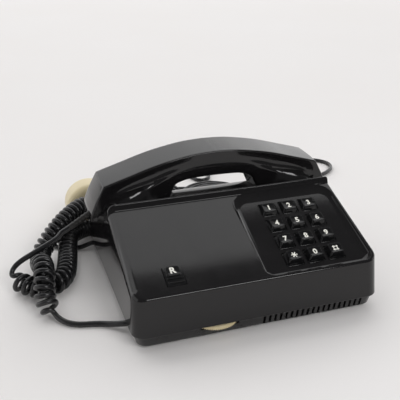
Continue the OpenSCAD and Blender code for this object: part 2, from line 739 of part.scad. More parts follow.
curl_s = [for (s = 0; s < mid_all; s = s + pitch_at(s) / 8) s];
curl_n = len(curl_s);
function curl_size(k) = curl_r * min(1, k / 7) * min(1, (curl_n - 1 - k) / 7);
curls = [for (k = [0:curl_n - 1]) mid_at(curl_s[k]) + curl_size(k) * mid_side(curl_s[k], 45 * k)];
curl_sides = [for (k = [0:curl_n - 1]) mid_side(curl_s[k], 45 * k)];
cord_path = concat([for (i = [0:len(lead_a) - 2]) lead_a[i]], curls,
    [for (i = [1:len(lead_b) - 1]) lead_b[i]]);
cord_sides = concat([for (i = [0:len(lead_a) - 2]) curl_sides[0]], curl_sides,
    [for (i = [1:len(lead_b) - 1]) curl_sides[curl_n - 1]]);

module handset_cord() {
    echo(curls = curl_n / 8, least_gap = least_gap(cord_path, cord_d, 5));
    color("#121214") tube(cord_path, cord_sides, cord_d / 2, 6);
}

module line_gland() {
    color("#101012") translate([line_x, line_y, line_z]) rotate([0, 90, 0])
        cylinder(r = line_r - 0.02, h = 9);
}

function upright(v) = [for (p = v) [0, 0, 1]];

module line_cord() {
    path = on_floor(routed(line_route, 12));
    color("#121214") tube(path, upright(path), cord_d / 2, 8);
}

module line_tail() {
    path = on_floor(routed(tail_route, 12));
    color("#121214") tube(path, upright(path), cord_d / 2, 8);
}

// The put-away length: in along the floor, up a layer at the middle and out again on top.
function coil_at(k) = let (t = k / 24, h = coil_turns / 2, r = coil_out - coil_step * (h - abs(t - h)),
    up = max(0, min(1, (t - h + 0.25) / 0.5)), a = 90 - 360 * t)
    [coil_c[0] + r * cos(a), coil_c[1] + r * sin(a), coil_z + coil_step * up];

module line_coil() {
    loops = [for (k = [0:24 * coil_turns]) coil_at(k)];
    start = line_route[len(line_route) - 1];
    end = tail_route[0];
    path = concat([start], [for (k = [1:len(loops) - 2]) loops[k]], [end]);
    echo(least_gap = least_gap(path, cord_d, 5));
    color("#121214") tube(path, upright(path), cord_d / 2, 6);
}

module coil_tie() {
    in = coil_out - coil_step * coil_turns / 2 - cord_d / 2 - 0.5;
    wide = coil_out + cord_d / 2 + 0.3 - in;
    high = coil_step + cord_d + 0.5;
    color("#2a2a2c") translate([coil_c[0] - in - wide, coil_c[1] - 2.5, 0]) difference() {
        translate([-tie_t, 0, 0]) cube([wide + 2 * tie_t, 5, high + 2 * tie_t]);
        translate([0, -1, tie_t]) cube([wide, 7, high]);
    }
}

module line_plug() {
    color("#e9e1c8") translate(plug_c) rotate([90, 0, 0]) translate([0, 0, -plug_t / 2]) {
        rotate_extrude() polygon([[0, 0], [plug_r - 2, 0], [plug_r, 2], [plug_r, plug_t - 5],
            [plug_r - 1.5, plug_t - 1.5], [plug_r - 5, plug_t], [0, plug_t]]);
    }
}

module plug_blades() {
    color("#b8a25a") translate([plug_c[0], plug_c[1] + plug_t / 2, plug_c[2]])
        for (k = [0:4]) rotate([0, 72 * k, 0]) translate([-3, 0, 11]) cube([6, 14, 1.4]);
}

top_case();
base_tray();
feet();
case_screws();
main_board();
transformer();
line_terminal();
ringer();
volume_pot();
volume_wheel();
keypad_board();
board_screws();
contact_mat();
hook_yoke();
hook_plungers();
hook_switch();
key_1();
key_2();
key_3();
key_4();
key_5();
key_6();
key_7();
key_8();
key_9();
key_star();
key_0();
key_hash();
recall_button();
handset_shell();
ear_cap();
mouth_cap();
receiver();
microphone();
handset_weight();
handset_boot();
base_gland();
handset_cord();
line_gland();
line_cord();
line_coil();
coil_tie();
line_tail();
line_plug();
plug_blades();
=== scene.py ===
import math

import bmesh
import bpy
from mathutils import Matrix, Vector
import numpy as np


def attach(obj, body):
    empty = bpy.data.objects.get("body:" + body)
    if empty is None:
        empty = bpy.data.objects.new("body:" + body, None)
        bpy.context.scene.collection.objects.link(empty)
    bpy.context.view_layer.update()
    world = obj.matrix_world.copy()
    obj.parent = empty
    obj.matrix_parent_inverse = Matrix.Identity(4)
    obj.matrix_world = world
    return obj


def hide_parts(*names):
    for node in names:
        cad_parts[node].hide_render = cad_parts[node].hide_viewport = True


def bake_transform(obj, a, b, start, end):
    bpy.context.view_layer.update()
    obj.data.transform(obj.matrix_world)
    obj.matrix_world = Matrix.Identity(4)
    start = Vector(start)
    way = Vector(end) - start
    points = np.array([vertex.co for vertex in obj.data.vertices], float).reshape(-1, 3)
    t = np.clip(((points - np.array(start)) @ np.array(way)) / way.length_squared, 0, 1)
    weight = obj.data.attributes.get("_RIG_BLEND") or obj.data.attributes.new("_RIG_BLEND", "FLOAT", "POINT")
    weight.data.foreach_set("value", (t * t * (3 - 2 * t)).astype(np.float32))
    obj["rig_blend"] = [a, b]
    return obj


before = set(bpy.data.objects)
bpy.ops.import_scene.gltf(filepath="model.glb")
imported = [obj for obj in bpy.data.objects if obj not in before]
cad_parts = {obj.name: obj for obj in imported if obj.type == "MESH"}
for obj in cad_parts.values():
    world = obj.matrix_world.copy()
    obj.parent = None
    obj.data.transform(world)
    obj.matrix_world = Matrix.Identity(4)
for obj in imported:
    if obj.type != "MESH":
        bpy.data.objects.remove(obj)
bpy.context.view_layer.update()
scene = bpy.context.scene
mm = 0.001  # every size below is in millimetres
print("frame loaded:", len(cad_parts), "nodes")


# curves and lofts

def smoothStep(value, low, high):
    t = min(1.0, max(0.0, (value - low) / (high - low)))
    return t * t * (3 - 2 * t)


def curveAt(knots, x):  # smooth curve through (x, y) knots
    if x <= knots[0][0]:
        return knots[0][1]
    if x >= knots[-1][0]:
        return knots[-1][1]
    i = max(j for j in range(len(knots) - 1) if knots[j][0] <= x)

    def slope(j):
        a = knots[max(j - 1, 0)]
        b = knots[min(j + 1, len(knots) - 1)]
        return (b[1] - a[1]) / (b[0] - a[0])

    (x0, y0), (x1, y1) = knots[i], knots[i + 1]
    span = x1 - x0
    t = (x - x0) / span
    rise = slope(i) * span * t * (1 - t) ** 2 + slope(i + 1) * span * t * t * (t - 1)
    return y0 * (1 + 2 * t) * (1 - t) ** 2 + y1 * t * t * (3 - 2 * t) + rise


def lineAt(knots, x):
    if x <= knots[0][0]:
        return knots[0][1]
    for (x0, y0), (x1, y1) in zip(knots, knots[1:]):
        if x <= x1:
            return y0 + (y1 - y0) * (x - x0) / (x1 - x0)
    return knots[-1][1]


def throughPoints(points, steps):
    inner = [Vector(p) for p in points]
    full = [2 * inner[0] - inner[1]] + inner + [2 * inner[-1] - inner[-2]]
    path = []
    for p, q, r, s in zip(full, full[1:], full[2:], full[3:]):
        for k in range(steps):
            t = k / steps
            path.append(0.5 * (2 * q + (r - p) * t + (2 * p - 5 * q + 4 * r - s) * t * t
                               + (3 * q - p - 3 * r + s) * t ** 3))
    return path + [inner[-1]]
def runAlong(path):  # distance from the start to each point
    run = [0.0]
    for a, b in zip(path, path[1:]):
        run.append(run[-1] + (b - a).length)
    return run
def roundedLine(points, radii, steps):  # a 2-D line with an arc at each inner corner
    out = [points[0]]
    for a, b, c, radius in zip(points, points[1:], points[2:], radii):
        corner = Vector(b)
        toA = (Vector(a) - corner).normalized()
        toC = (Vector(c) - corner).normalized()
        half = toA.angle(toC) / 2
        reach = radius / math.tan(half)
        centre = (toA + toC).normalized() * (radius / math.sin(half))
        start = toA * reach - centre
        end = toC * reach - centre
        turn = start.angle(end)
        for k in range(steps + 1):
            t = k / steps
            arc = start * math.sin((1 - t) * turn) + end * math.sin(t * turn)
            out.append(tuple(corner + centre + arc / math.sin(turn)))
    return out + [points[-1]]


def roundedRect(x0, x1, y0, y1, radii, steps):  # radii: low right, high right, high left, low left
    centres = ((x1, y0, -1, 1), (x1, y1, -1, -1), (x0, y1, 1, -1), (x0, y0, 1, 1))
    loop = []
    for quarter, ((x, y, sx, sy), radius) in enumerate(zip(centres, radii)):
        for k in range(steps + 1):
            a = math.radians(-90 + 90 * quarter + 90 * k / steps)
            loop.append((x + radius * (sx + math.cos(a)), y + radius * (sy + math.sin(a))))
    return loop


def loft(loops, capped=True):
    count = len(loops[0])
    points = [p for loop in loops for p in loop]
    faces = []
    for i in range(len(loops) - 1):
        for k in range(count):
            a = i * count + k
            b = i * count + (k + 1) % count
            faces.append((a, b, b + count, a + count))
    if capped:
        faces.append(tuple(reversed(range(count))))
        faces.append(tuple(range(len(points) - count, len(points))))
    return points, faces


def ringPoints(centre, ahead, side, radius, sides):
    other = ahead.cross(side)
    turns = [2 * math.pi * k / sides for k in range(sides)]
    return [centre + radius * (math.cos(a) * side + math.sin(a) * other) for a in turns]


def tube(path, radii, sides):  # rings carried along the path without twist
    last = len(path) - 1
    along = [(path[min(i + 1, last)] - path[max(i - 1, 0)]).normalized() for i in range(last + 1)]
    side = along[0].orthogonal().normalized()
    loops = []
    for point, ahead, radius in zip(path, along, radii):
        side = (side - side.dot(ahead) * ahead).normalized()
        loops.append(ringPoints(point, ahead, side, radius, sides))
    return loft(loops)


def lathe(profile, root, axis, sides):  # profile: (radius, height along the axis)
    axis = Vector(axis).normalized()
    side = axis.orthogonal().normalized()
    return loft([ringPoints(Vector(root) + axis * height, axis, side, radius, sides)
                 for radius, height in profile])


def boxShape(x0, x1, y0, y1, z0, z1):
    return loft([[(x0, y0, z), (x1, y0, z), (x1, y1, z), (x0, y1, z)] for z in (z0, z1)])


def joined(*shapes):
    points = []
    faces = []
    for shapePoints, shapeFaces in shapes:
        start = len(points)
        points += [tuple(p) for p in shapePoints]
        faces += [tuple(start + i for i in face) for face in shapeFaces]
    return points, faces


def bodyMesh(name, shape, sharpAngle=None):
    points, faces = shape
    mesh = bpy.data.meshes.new(name)
    mesh.from_pydata([Vector(p) * mm for p in points], [], faces)
    obj = bpy.data.objects.new(name, mesh)
    scene.collection.objects.link(obj)
    if sharpAngle:
        tidyMesh(obj, sharpAngle)
    return obj


def tidyMesh(obj, sharpAngle):
    work = bmesh.new()
    work.from_mesh(obj.data)
    bmesh.ops.remove_doubles(work, verts=work.verts, dist=2e-6)
    bmesh.ops.dissolve_degenerate(work, edges=work.edges, dist=1e-6)
    bmesh.ops.recalc_face_normals(work, faces=work.faces)
    work.to_mesh(obj.data)
    work.free()
    obj.data.shade_smooth()
    obj.data.set_sharp_from_angle(angle=math.radians(sharpAngle))


def evaluatedMesh(obj):
    return bpy.data.meshes.new_from_object(obj.evaluated_get(bpy.context.evaluated_depsgraph_get()))


def settled(obj):  # the evaluated mesh, with no modifier left
    mesh = evaluatedMesh(obj)
    obj.modifiers.clear()
    obj.data = mesh
    return obj


def takeIn(obj, other, slotIndex=0):  # adds the other object's mesh to this one
    count = len(obj.data.polygons)
    work = bmesh.new()
    work.from_mesh(obj.data)
    work.from_mesh(other.data)
    work.faces.ensure_lookup_table()
    for face in work.faces[count:]:
        face.material_index = slotIndex
    work.to_mesh(obj.data)
    work.free()
    bpy.data.objects.remove(other)


def cutAway(obj, *cutters):
    for cutter in cutters:
        step = obj.modifiers.new("cut", "BOOLEAN")
        step.operation = "DIFFERENCE"
        step.solver = "EXACT"
        step.object = cutter
        settled(obj)
        bpy.data.objects.remove(cutter)


def dress(obj, body, slot, material, *nodes):
    obj.data.materials.clear()
    obj.data.materials.append(material)
    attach(obj, body)
    if nodes:
        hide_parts(*nodes)
    return obj


# materials

def setInputs(node, values):
    for label, value in values.items():
        node.inputs[label].default_value = value


def noiseNode(tree, scale, detail, coords):
    node = tree.nodes.new("ShaderNodeTexNoise")
    setInputs(node, {"Scale": scale, "Detail": detail})
    tree.links.new(coords, node.inputs["Vector"])
    return node


def tintNode(tree, first, second, factor):
    node = tree.nodes.new("ShaderNodeMix")
    node.data_type = "RGBA"
    setInputs(node, {"A": (*first, 1), "B": (*second, 1)})
    tree.links.new(factor, node.inputs["Factor"])
    return node.outputs["Result"]


def mathNode(tree, operation, first, second, clamp=False):
    node = tree.nodes.new("ShaderNodeMath")
    node.operation = operation
    node.use_clamp = clamp
    for socket, value in zip(node.inputs, (first, second)):
        if isinstance(value, (int, float)):
            socket.default_value = value
        else:
            tree.links.new(value, socket)
    return node.outputs[0]


def makeUseGroup():  # lighter patches on upward faces, which are dust that settles there and, on the handset, partly a painted sheen on its top; also handling marks and a moulded skin
    tree = bpy.data.node_groups.new("handledSurface", "ShaderNodeTree")
    for way, labels in (("INPUT", ("DustAndSheen", "Marks", "Skin Scale")), ("OUTPUT", ("DustAndSheen", "Marks", "Skin"))):
        for label in labels:
            tree.interface.new_socket(label, in_out=way, socket_type="NodeSocketFloat")
    groupIn = tree.nodes.new("NodeGroupInput")
    groupOut = tree.nodes.new("NodeGroupOutput")
    link = tree.links.new
    coords = tree.nodes.new("ShaderNodeTexCoord").outputs["Object"]
    split = tree.nodes.new("ShaderNodeSeparateXYZ")
    link(tree.nodes.new("ShaderNodeNewGeometry").outputs["Normal"], split.inputs[0])

    def times(first, second, clamp=False):
        return mathNode(tree, "MULTIPLY", first, second, clamp)

    def clipped(scale, detail, floor, gain):
        noise = noiseNode(tree, scale, detail, coords)
        return times(mathNode(tree, "SUBTRACT", noise.outputs[0], floor), gain, True)

    patch = clipped(26.0, 5.0, 0.42, 4.0)
    dots = clipped(950.0, 2.0, 0.6, 6.0)
    rub = clipped(60.0, 6.0, 0.45, 3.0)
    film = mathNode(tree, "ADD", times(dots, 0.7), 0.3)
    # only upward faces take the mix: settled dust, and on the handset's top partly a painted sheen
    upward = mathNode(tree, "MAXIMUM", split.outputs["Z"], 0.0)
    link(times(times(times(patch, film), upward), groupIn.outputs["DustAndSheen"]), groupOut.inputs["DustAndSheen"])
    link(times(rub, groupIn.outputs["Marks"]), groupOut.inputs["Marks"])
    skin = noiseNode(tree, 900.0, 2.0, coords)
    link(groupIn.outputs["Skin Scale"], skin.inputs["Scale"])
    link(skin.outputs[0], groupOut.inputs["Skin"])
    return tree


useGroup = makeUseGroup()
skinDepth = 0.0004


def moulded(name, colour, rough, dustAndSheen=0.3, marks=0.3, skin=900.0, bump=0.05, dustAndSheenColour=(0.32, 0.31, 0.3),
            specular=0.5, metallic=0.0):
    material = bpy.data.materials.new(name)
    material.use_nodes = True
    tree = material.node_tree
    link = tree.links.new
    shader = tree.nodes["Principled BSDF"]
    use = tree.nodes.new("ShaderNodeGroup")
    use.node_tree = useGroup
    setInputs(use, {"DustAndSheen": dustAndSheen, "Marks": marks, "Skin Scale": skin})
    # base colour mixed towards the dust colour under the mask; on the handset this paints part of the sheen
    # on its top
    link(tintNode(tree, colour, dustAndSheenColour, use.outputs["DustAndSheen"]), shader.inputs["Base Color"])
    level = tree.nodes.new("ShaderNodeMapRange")
    setInputs(level, {"To Min": rough[0], "To Max": rough[1]})
    link(mathNode(tree, "ADD", use.outputs["Marks"], use.outputs["DustAndSheen"]), level.inputs["Value"])
    link(level.outputs["Result"], shader.inputs["Roughness"])
    relief = tree.nodes.new("ShaderNodeBump")
    setInputs(relief, {"Strength": bump, "Distance": skinDepth})
    link(use.outputs["Skin"], relief.inputs["Height"])
    link(relief.outputs["Normal"], shader.inputs["Normal"])
    setInputs(shader, {"Specular IOR Level": specular, "Metallic": metallic})
    return material


caseBlack = moulded("caseBlack", (0.0085, 0.008, 0.0085), (0.06, 0.18), dustAndSheen=0.03, marks=0.25, bump=0.02,
                    specular=0.42)
# the handset's upward dust is partly painted light: it lightens the top to stand in for the sheen that falls
# there
handsetBlack = moulded("handsetBlack", (0.0085, 0.008, 0.0085), (0.09, 0.2), dustAndSheen=0.08, marks=0.25,
                       bump=0.02, specular=0.45)
trayBlack = moulded("trayBlack", (0.014, 0.0135, 0.014), (0.26, 0.42), dustAndSheen=0.1, skin=1600.0, bump=0.1)
keyBlack = moulded("keyBlack", (0.007, 0.007, 0.0075), (0.12, 0.24), dustAndSheen=0.02, bump=0.03, specular=0.34)
creamPlastic = moulded("creamPlastic", (0.71, 0.61, 0.39), (0.3, 0.5), marks=0.5, bump=0.04,
                       dustAndSheenColour=(0.5, 0.43, 0.28))
cordVinyl = moulded("cordVinyl", (0.011, 0.011, 0.012), (0.2, 0.4), dustAndSheen=0.12, marks=0.4, skin=2200.0,
                    bump=0.08)
footRubber = moulded("footRubber", (0.012, 0.012, 0.012), (0.6, 0.8), dustAndSheen=0.5, marks=0.4, skin=2600.0,
                     bump=0.25)
glandRubber = moulded("glandRubber", (0.012, 0.011, 0.01), (0.4, 0.6), dustAndSheen=0.15, marks=0.4, skin=2200.0,
                      bump=0.2)
printWhite = moulded("printWhite", (0.86, 0.85, 0.78), (0.4, 0.55), dustAndSheen=0.25, marks=0.4)
steelPlain = moulded("steelPlain", (0.56, 0.56, 0.58), (0.25, 0.45), dustAndSheen=0.1, marks=0.6, skin=1200.0,
                     metallic=1.0)
brassPlain = moulded("brassPlain", (0.7, 0.56, 0.26), (0.25, 0.45), dustAndSheen=0.1, marks=0.6, metallic=1.0)
tieStrip = moulded("tieStrip", (0.03, 0.03, 0.03), (0.4, 0.6), skin=1800.0, bump=0.1)
innerBlack = moulded("innerBlack", (0.05, 0.05, 0.054), (0.4, 0.55), skin=1400.0, bump=0.1)
boardGreen = moulded("boardGreen", (0.05, 0.22, 0.1), (0.3, 0.45), dustAndSheen=0.5, skin=300.0, bump=0.2,
                     dustAndSheenColour=(0.2, 0.33, 0.2))
boardBrown = moulded("boardBrown", (0.3, 0.19, 0.07), (0.4, 0.6), dustAndSheen=0.5, skin=300.0, bump=0.2,
                     dustAndSheenColour=(0.4, 0.3, 0.16))
matGrey = moulded("matGrey", (0.4, 0.385, 0.36), (0.5, 0.7), skin=1500.0, bump=0.1)
windingBrown = moulded("windingBrown", (0.2, 0.11, 0.05), (0.3, 0.5), dustAndSheen=0.4, skin=2500.0, bump=0.4)
terminalCream = moulded("terminalCream", (0.62, 0.56, 0.42), (0.4, 0.55))
capsuleGrey = moulded("capsuleGrey", (0.42, 0.42, 0.44), (0.3, 0.5), dustAndSheen=0.2, marks=0.5, metallic=1.0)

nodeFinish = {
    "case_screws": steelPlain, "board_screws": steelPlain, "handset_weight": steelPlain,
    "main_board": boardGreen, "keypad_board": boardBrown, "contact_mat": matGrey,
    "transformer": windingBrown, "line_terminal": terminalCream, "ringer": innerBlack,
    "volume_pot": innerBlack, "hook_yoke": innerBlack, "hook_plungers": innerBlack,
    "hook_switch": innerBlack, "receiver": capsuleGrey, "microphone": capsuleGrey,
    "ear_cap": handsetBlack, "mouth_cap": handsetBlack, "line_gland": glandRubber, "coil_tie": tieStrip,
}
for nodeName, finish in nodeFinish.items():
    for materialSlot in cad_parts[nodeName].material_slots:
        materialSlot.material = finish
print("materials made:", len(bpy.data.materials))


# camera, as fitted to the keys and the corners of the case

cameraSetting = {"place": (-197.24, -520.68, 334.32), "azimuth": -18.57, "elevation": 25.12, "roll": 0.32,
                 "lens": 62.72}


def makeCamera():
    az, el, roll = [math.radians(cameraSetting[name]) for name in ("azimuth", "elevation", "roll")]
    right = Vector((math.cos(az), math.sin(az), 0))
    back = Vector((math.sin(az) * math.cos(el), -math.cos(az) * math.cos(el), math.sin(el)))
    up = back.cross(right)
    rolledRight = math.cos(roll) * right + math.sin(roll) * up
    rolledUp = math.cos(roll) * up - math.sin(roll) * right
    data = bpy.data.cameras.new("photoCamera")
    data.sensor_width = 36
    data.lens = cameraSetting["lens"]
    data.clip_end = 20
    obj = bpy.data.objects.new("photoCamera", data)
    turn = Matrix((rolledRight, rolledUp, back)).transposed().to_4x4()
    obj.matrix_world = Matrix.Translation(Vector(cameraSetting["place"]) * mm) @ turn
    scene.collection.objects.link(obj)
    scene.camera = obj


makeCamera()


# cords

cordSizes = {"diameter": 4.4, "lead": 4.9, "sides": 12, "rest": 2.3}

curlyCord = {
    "leadIn": [(-99.5, -63, 7.5), (-102.5, -63, 7.5), (-105.5, -63, 7.5), (-110, -58, 4.5), (-121, -51, 2.6),
               (-133, -47, 2.5), (-144, -46, 2.5), (-153, -40, 2.6), (-159, -31, 4.5)],
    "curls": [(-162, -22, 11.5), (-163, -15, 19), (-161, -5, 26.5), (-160, 6, 29.4), (-160, 17, 27.8),
              (-160, 28, 20.8), (-160, 40, 14.2), (-159.5, 51, 12.6), (-156, 61, 15.6), (-148, 69, 23),
              (-136, 79, 31.2), (-124, 90, 35.4), (-110, 103, 36.5), (-92, 110, 34.5), (-70, 112, 32),
              (-46, 113, 29.5), (-23, 118, 26.5), (-8, 134, 22), (-12, 154, 16.5), (-28, 161, 12.5),
              (-41, 149, 10.4), (-44, 132, 9.6), (-55, 118, 9.6), (-72, 112, 9.6), (-90, 111, 9.6),
              (-107, 108, 9.8), (-119, 98, 12), (-127, 86, 14.4), (-131, 70, 12.6), (-134, 54, 9.8),
              (-137, 38, 9.6), (-140, 26, 9.6), (-146, 15.5, 9.6), (-155, 9, 9.6), (-166, 9.5, 9.6),
              (-175, 16.5, 9.8), (-182, 25, 10.8)],
    "leadOut": [(-187, 31, 14.5), (-186.5, 33, 20.5), (-179, 33.6, 24.2), (-168, 34, 29), (-156, 34.4, 35),
                (-145, 34.6, 40.5)],
    "radius": 7.1, "clear": 4.0, "knotSteps": 10, "fine": 3, "softRounds": 40, "atBoot": (8, 4.3, -1.5),
    "pitches": [(-1, 6.4), (8, 6.4), (10, 5.4), (12, 5.4), (13, 7.6), (23, 7.6), (24, 5.4), (29, 5.4),
                (31, 6.4), (34, 6.4), (35, 8.4), (37, 8.4)],  # from the number of a point in curls
}
bootSizes = {"root": (-111.5, 36, 61.6), "way": (-0.87, -0.03, -0.492), "length": 24.0, "thick": 3.3,
             "thin": 2.6, "grooves": 5, "groove": 0.5}


def softened(path, bend, reach, rounds):  # eases a sharp bend, most at its middle
    for step in range(rounds):
        eased = list(path)
        for i in range(max(1, bend - reach), min(len(path) - 1, bend + reach)):
            share = 0.5 * (1 - abs(i - bend) / reach)
            eased[i] = path[i].lerp((path[i - 1] + path[i + 1]) / 2, share)
        path = eased
    return path


def curlyPath():
    c = curlyCord
    way = Vector(bootSizes["way"])
    tip = Vector(bootSizes["root"]) + bootSizes["length"] * way
    leadOut = [Vector(p) for p in c["leadOut"]] + [tip + s * way for s in c["atBoot"]]
    middle = throughPoints([c["leadIn"][-1]] + c["curls"] + [c["leadOut"][0]], c["knotSteps"])
    run = runAlong(middle)
    tables = [[(s, p[axis]) for s, p in zip(run, middle)] for axis in range(3)]

    def middleAt(s):
        return Vector([lineAt(t, s) for t in tables])

    pitches = [(run[(i + 1) * c["knotSteps"]], pitch) for i, pitch in c["pitches"]]
    eighths = [c["clear"]]
    while eighths[-1] + lineAt(pitches, eighths[-1]) / 8 < run[-1] - c["clear"]:
        eighths.append(eighths[-1] + lineAt(pitches, eighths[-1]) / 8)
    last = len(eighths) - 1
    curls = []
    for i, s in enumerate(eighths):
        ahead = (middleAt(min(s + 2, run[-1])) - middleAt(max(s - 2, 0))).normalized()
        across = ahead.cross(Vector((0, 0, 1))).normalized()
        over = across.cross(ahead)
        a = math.radians(45 * i)
        size = c["radius"] * min(1.0, 0.35 + 0.13 * i, 0.75 + 0.13 * (last - i))
        curls.append(middleAt(s) + size * (math.cos(a) * across + math.sin(a) * over))
    knots = [Vector(p) for p in c["leadIn"]] + curls + leadOut
    path = throughPoints(knots, c["fine"])
    firstCount = len(c["leadIn"]) * c["fine"]
    leadCount = (len(leadOut) - 1) * c["fine"]
    for bend, reach in ((5, 7), (firstCount + 1, 15), (len(path) - leadCount - 4, 15)):
        path = softened(path, bend, reach, c["softRounds"])
    return path, firstCount, leadCount


def cordPiece(name, path, first=0, final=0):  # the plain leads at both ends are a little thicker
    thin = cordSizes["diameter"] / 2
    more = cordSizes["lead"] / 2 - thin
    last = len(path) - 1
    radii = []
    for i in range(len(path)):
        lead = max(1 - smoothStep(i, first - 6, first), smoothStep(i, last - final, last - final + 6))
        radii.append(thin + more * (lead if first else 0))
    return bodyMesh(name, tube(path, radii, cordSizes["sides"]), 60)


def makeHandsetCord():
    path, firstCount, leadCount = curlyPath()
    cord = cordPiece("handsetCord", path, firstCount, leadCount)
    cord.data.materials.append(cordVinyl)
    tip = path[-1]
    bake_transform(cord, "base", "handset", start=tuple(path[-1 - leadCount] * mm), end=tuple(tip * mm))
    weights = cord.data.attributes["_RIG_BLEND"].data  # only the lead lifts with the handset
    free = len(path) - 1 - leadCount
    for i in range(len(path)):
        share = smoothStep(i - free, 0, leadCount - 4)
        for k in range(cordSizes["sides"]):
            weights[i * cordSizes["sides"] + k].value = share
    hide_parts("handset_cord")
    return cord


handsetCord = makeHandsetCord()
print("handset cord:", len(handsetCord.data.polygons), "faces")

lineCordRoute = {  # a point without a height lies on the table
    "toCoil": [(-104.14, 80, 7), (-107.14, 80, 7), (-110.14, 80, 6.2), (-117, 81.5, 3.4), (-124, 84),
               (-132, 88), (-141, 93), (-148, 103), (-147, 117), (-140, 133), (-127, 153), (-107, 172),
               (-80, 187), (-46, 196), (-10, 195), (16, 186, 2.8), (30, 181, 3.4), (35, 181, 3.4)],
    "toPlug": [(45, 181, 8.3), (50, 181, 8.3), (66, 178, 6), (86, 172), (114, 167), (146, 166), (177, 170),
               (199, 178), (213, 190), (217, 204), (210, 217), (192, 227), (162, 236), (128, 242), (96, 241),
               (74, 231), (63, 222), (59.5, 212.5), (56.7, 205.8), (50, 203), (43.3, 205.8), (40.5, 212.5),
               (37, 222), (27, 236), (8, 248), (-22, 252), (-48, 243), (-63, 226), (-68, 207, 6),
               (-67, 190, 7.6), (-63, 174, 4), (-58, 159, 5), (-56.5, 149, 10.5), (-57.5, 142, 17),
               (-62, 138, 22), (-67, 137, 24), (-70, 137, 24), (-74, 137, 24)],
    "coilMiddle": (40, 149), "coilTurns": 7, "coilOuter": 32.0, "coilStep": 4.9, "coilLow": 3.4,
    "turnSteps": 36, "fine": 6,
}


def linePath():
    c = lineCordRoute
    rest = cordSizes["rest"]
    toCoil, toPlug = [[Vector((*p, rest)[:3]) for p in c[leg]] for leg in ("toCoil", "toPlug")]
    x, y = c["coilMiddle"]
    half = c["coilTurns"] / 2
    coil = []
    for k in range(1, c["turnSteps"] * c["coilTurns"]):
        t = k / c["turnSteps"]
        radius = c["coilOuter"] - c["coilStep"] * (half - abs(t - half))
        rise = c["coilStep"] * smoothStep(t, half - 0.25, half + 0.25)
        a = math.radians(90 - 360 * t)
        coil.append(Vector((x + radius * math.cos(a), y + radius * math.sin(a), c["coilLow"] + rise)))
    lead = toCoil[:1] + throughPoints(toCoil[1:-1], c["fine"]) + toCoil[-1:]
    tail = toPlug[:1] + throughPoints(toPlug[1:-1], c["fine"]) + toPlug[-1:]
    return [Vector((p.x, p.y, max(p.z, rest))) for p in lead + coil + tail]


def boxTree(name, pointNode, pointInputs, outward):  # a box on each point that one node makes
    tree = bpy.data.node_groups.new(name, "GeometryNodeTree")
    tree.interface.new_socket("Geometry", in_out="OUTPUT", socket_type="NodeSocketGeometry")
    kinds = {"Count": "Int", "Radius": "Float", "Finish": "Material"}
    inputs = {}
    for label in (*pointInputs, "Size", "Finish"):
        kind = "NodeSocket" + kinds.get(label, "Vector")
        inputs[label] = tree.interface.new_socket(label, in_out="INPUT", socket_type=kind).identifier
    nodes = tree.nodes
    link = tree.links.new
    groupIn = nodes.new("NodeGroupInput")
    groupOut = nodes.new("NodeGroupOutput")
    points = nodes.new(pointNode)
    box = nodes.new("GeometryNodeMeshCube")
    spread = nodes.new("GeometryNodeInstanceOnPoints")
    real = nodes.new("GeometryNodeRealizeInstances")
    finish = nodes.new("GeometryNodeSetMaterial")
    for label, socket in pointInputs.items():
        link(groupIn.outputs[label], points.inputs[socket])
    link(groupIn.outputs["Size"], box.inputs["Size"])
    link(points.outputs["Mesh"], spread.inputs["Points"])
    link(box.outputs["Mesh"], spread.inputs["Instance"])
    if outward:
        face = nodes.new("FunctionNodeAlignRotationToVector")
        face.axis = "X"
        link(nodes.new("GeometryNodeInputPosition").outputs[0], face.inputs["Vector"])
        link(face.outputs["Rotation"], spread.inputs["Rotation"])
    link(spread.outputs["Instances"], real.inputs["Geometry"])
    link(real.outputs["Geometry"], finish.inputs["Geometry"])
    link(groupIn.outputs["Finish"], finish.inputs["Material"])
    link(finish.outputs["Geometry"], groupOut.inputs["Geometry"])
    return tree, inputs


def grown(name, treeAndInputs, values):
    tree, inputs = treeAndInputs
    obj = bpy.data.objects.new(name, bpy.data.meshes.new(name))
    scene.collection.objects.link(obj)
    step = obj.modifiers.new("nodes", "NODES")
    step.node_group = tree
    for label, value in values.items():
        step[inputs[label]] = value
    return settled(obj)


boxRing = boxTree("boxRing", "GeometryNodeMeshCircle", {"Count": "Vertices", "Radius": "Radius"}, True)
boxRow = boxTree("boxRow", "GeometryNodeMeshLine",
                 {"Count": "Count", "Start": "Start Location", "Step": "Offset"}, False)

plugSizes = {"middle": (-98, 135, 24), "radius": 24.0, "thick": 24.0, "nubY": 137, "blades": 5,
             "bladeRing": 11.7, "blade": (1.4, 6.0, 14.0)}


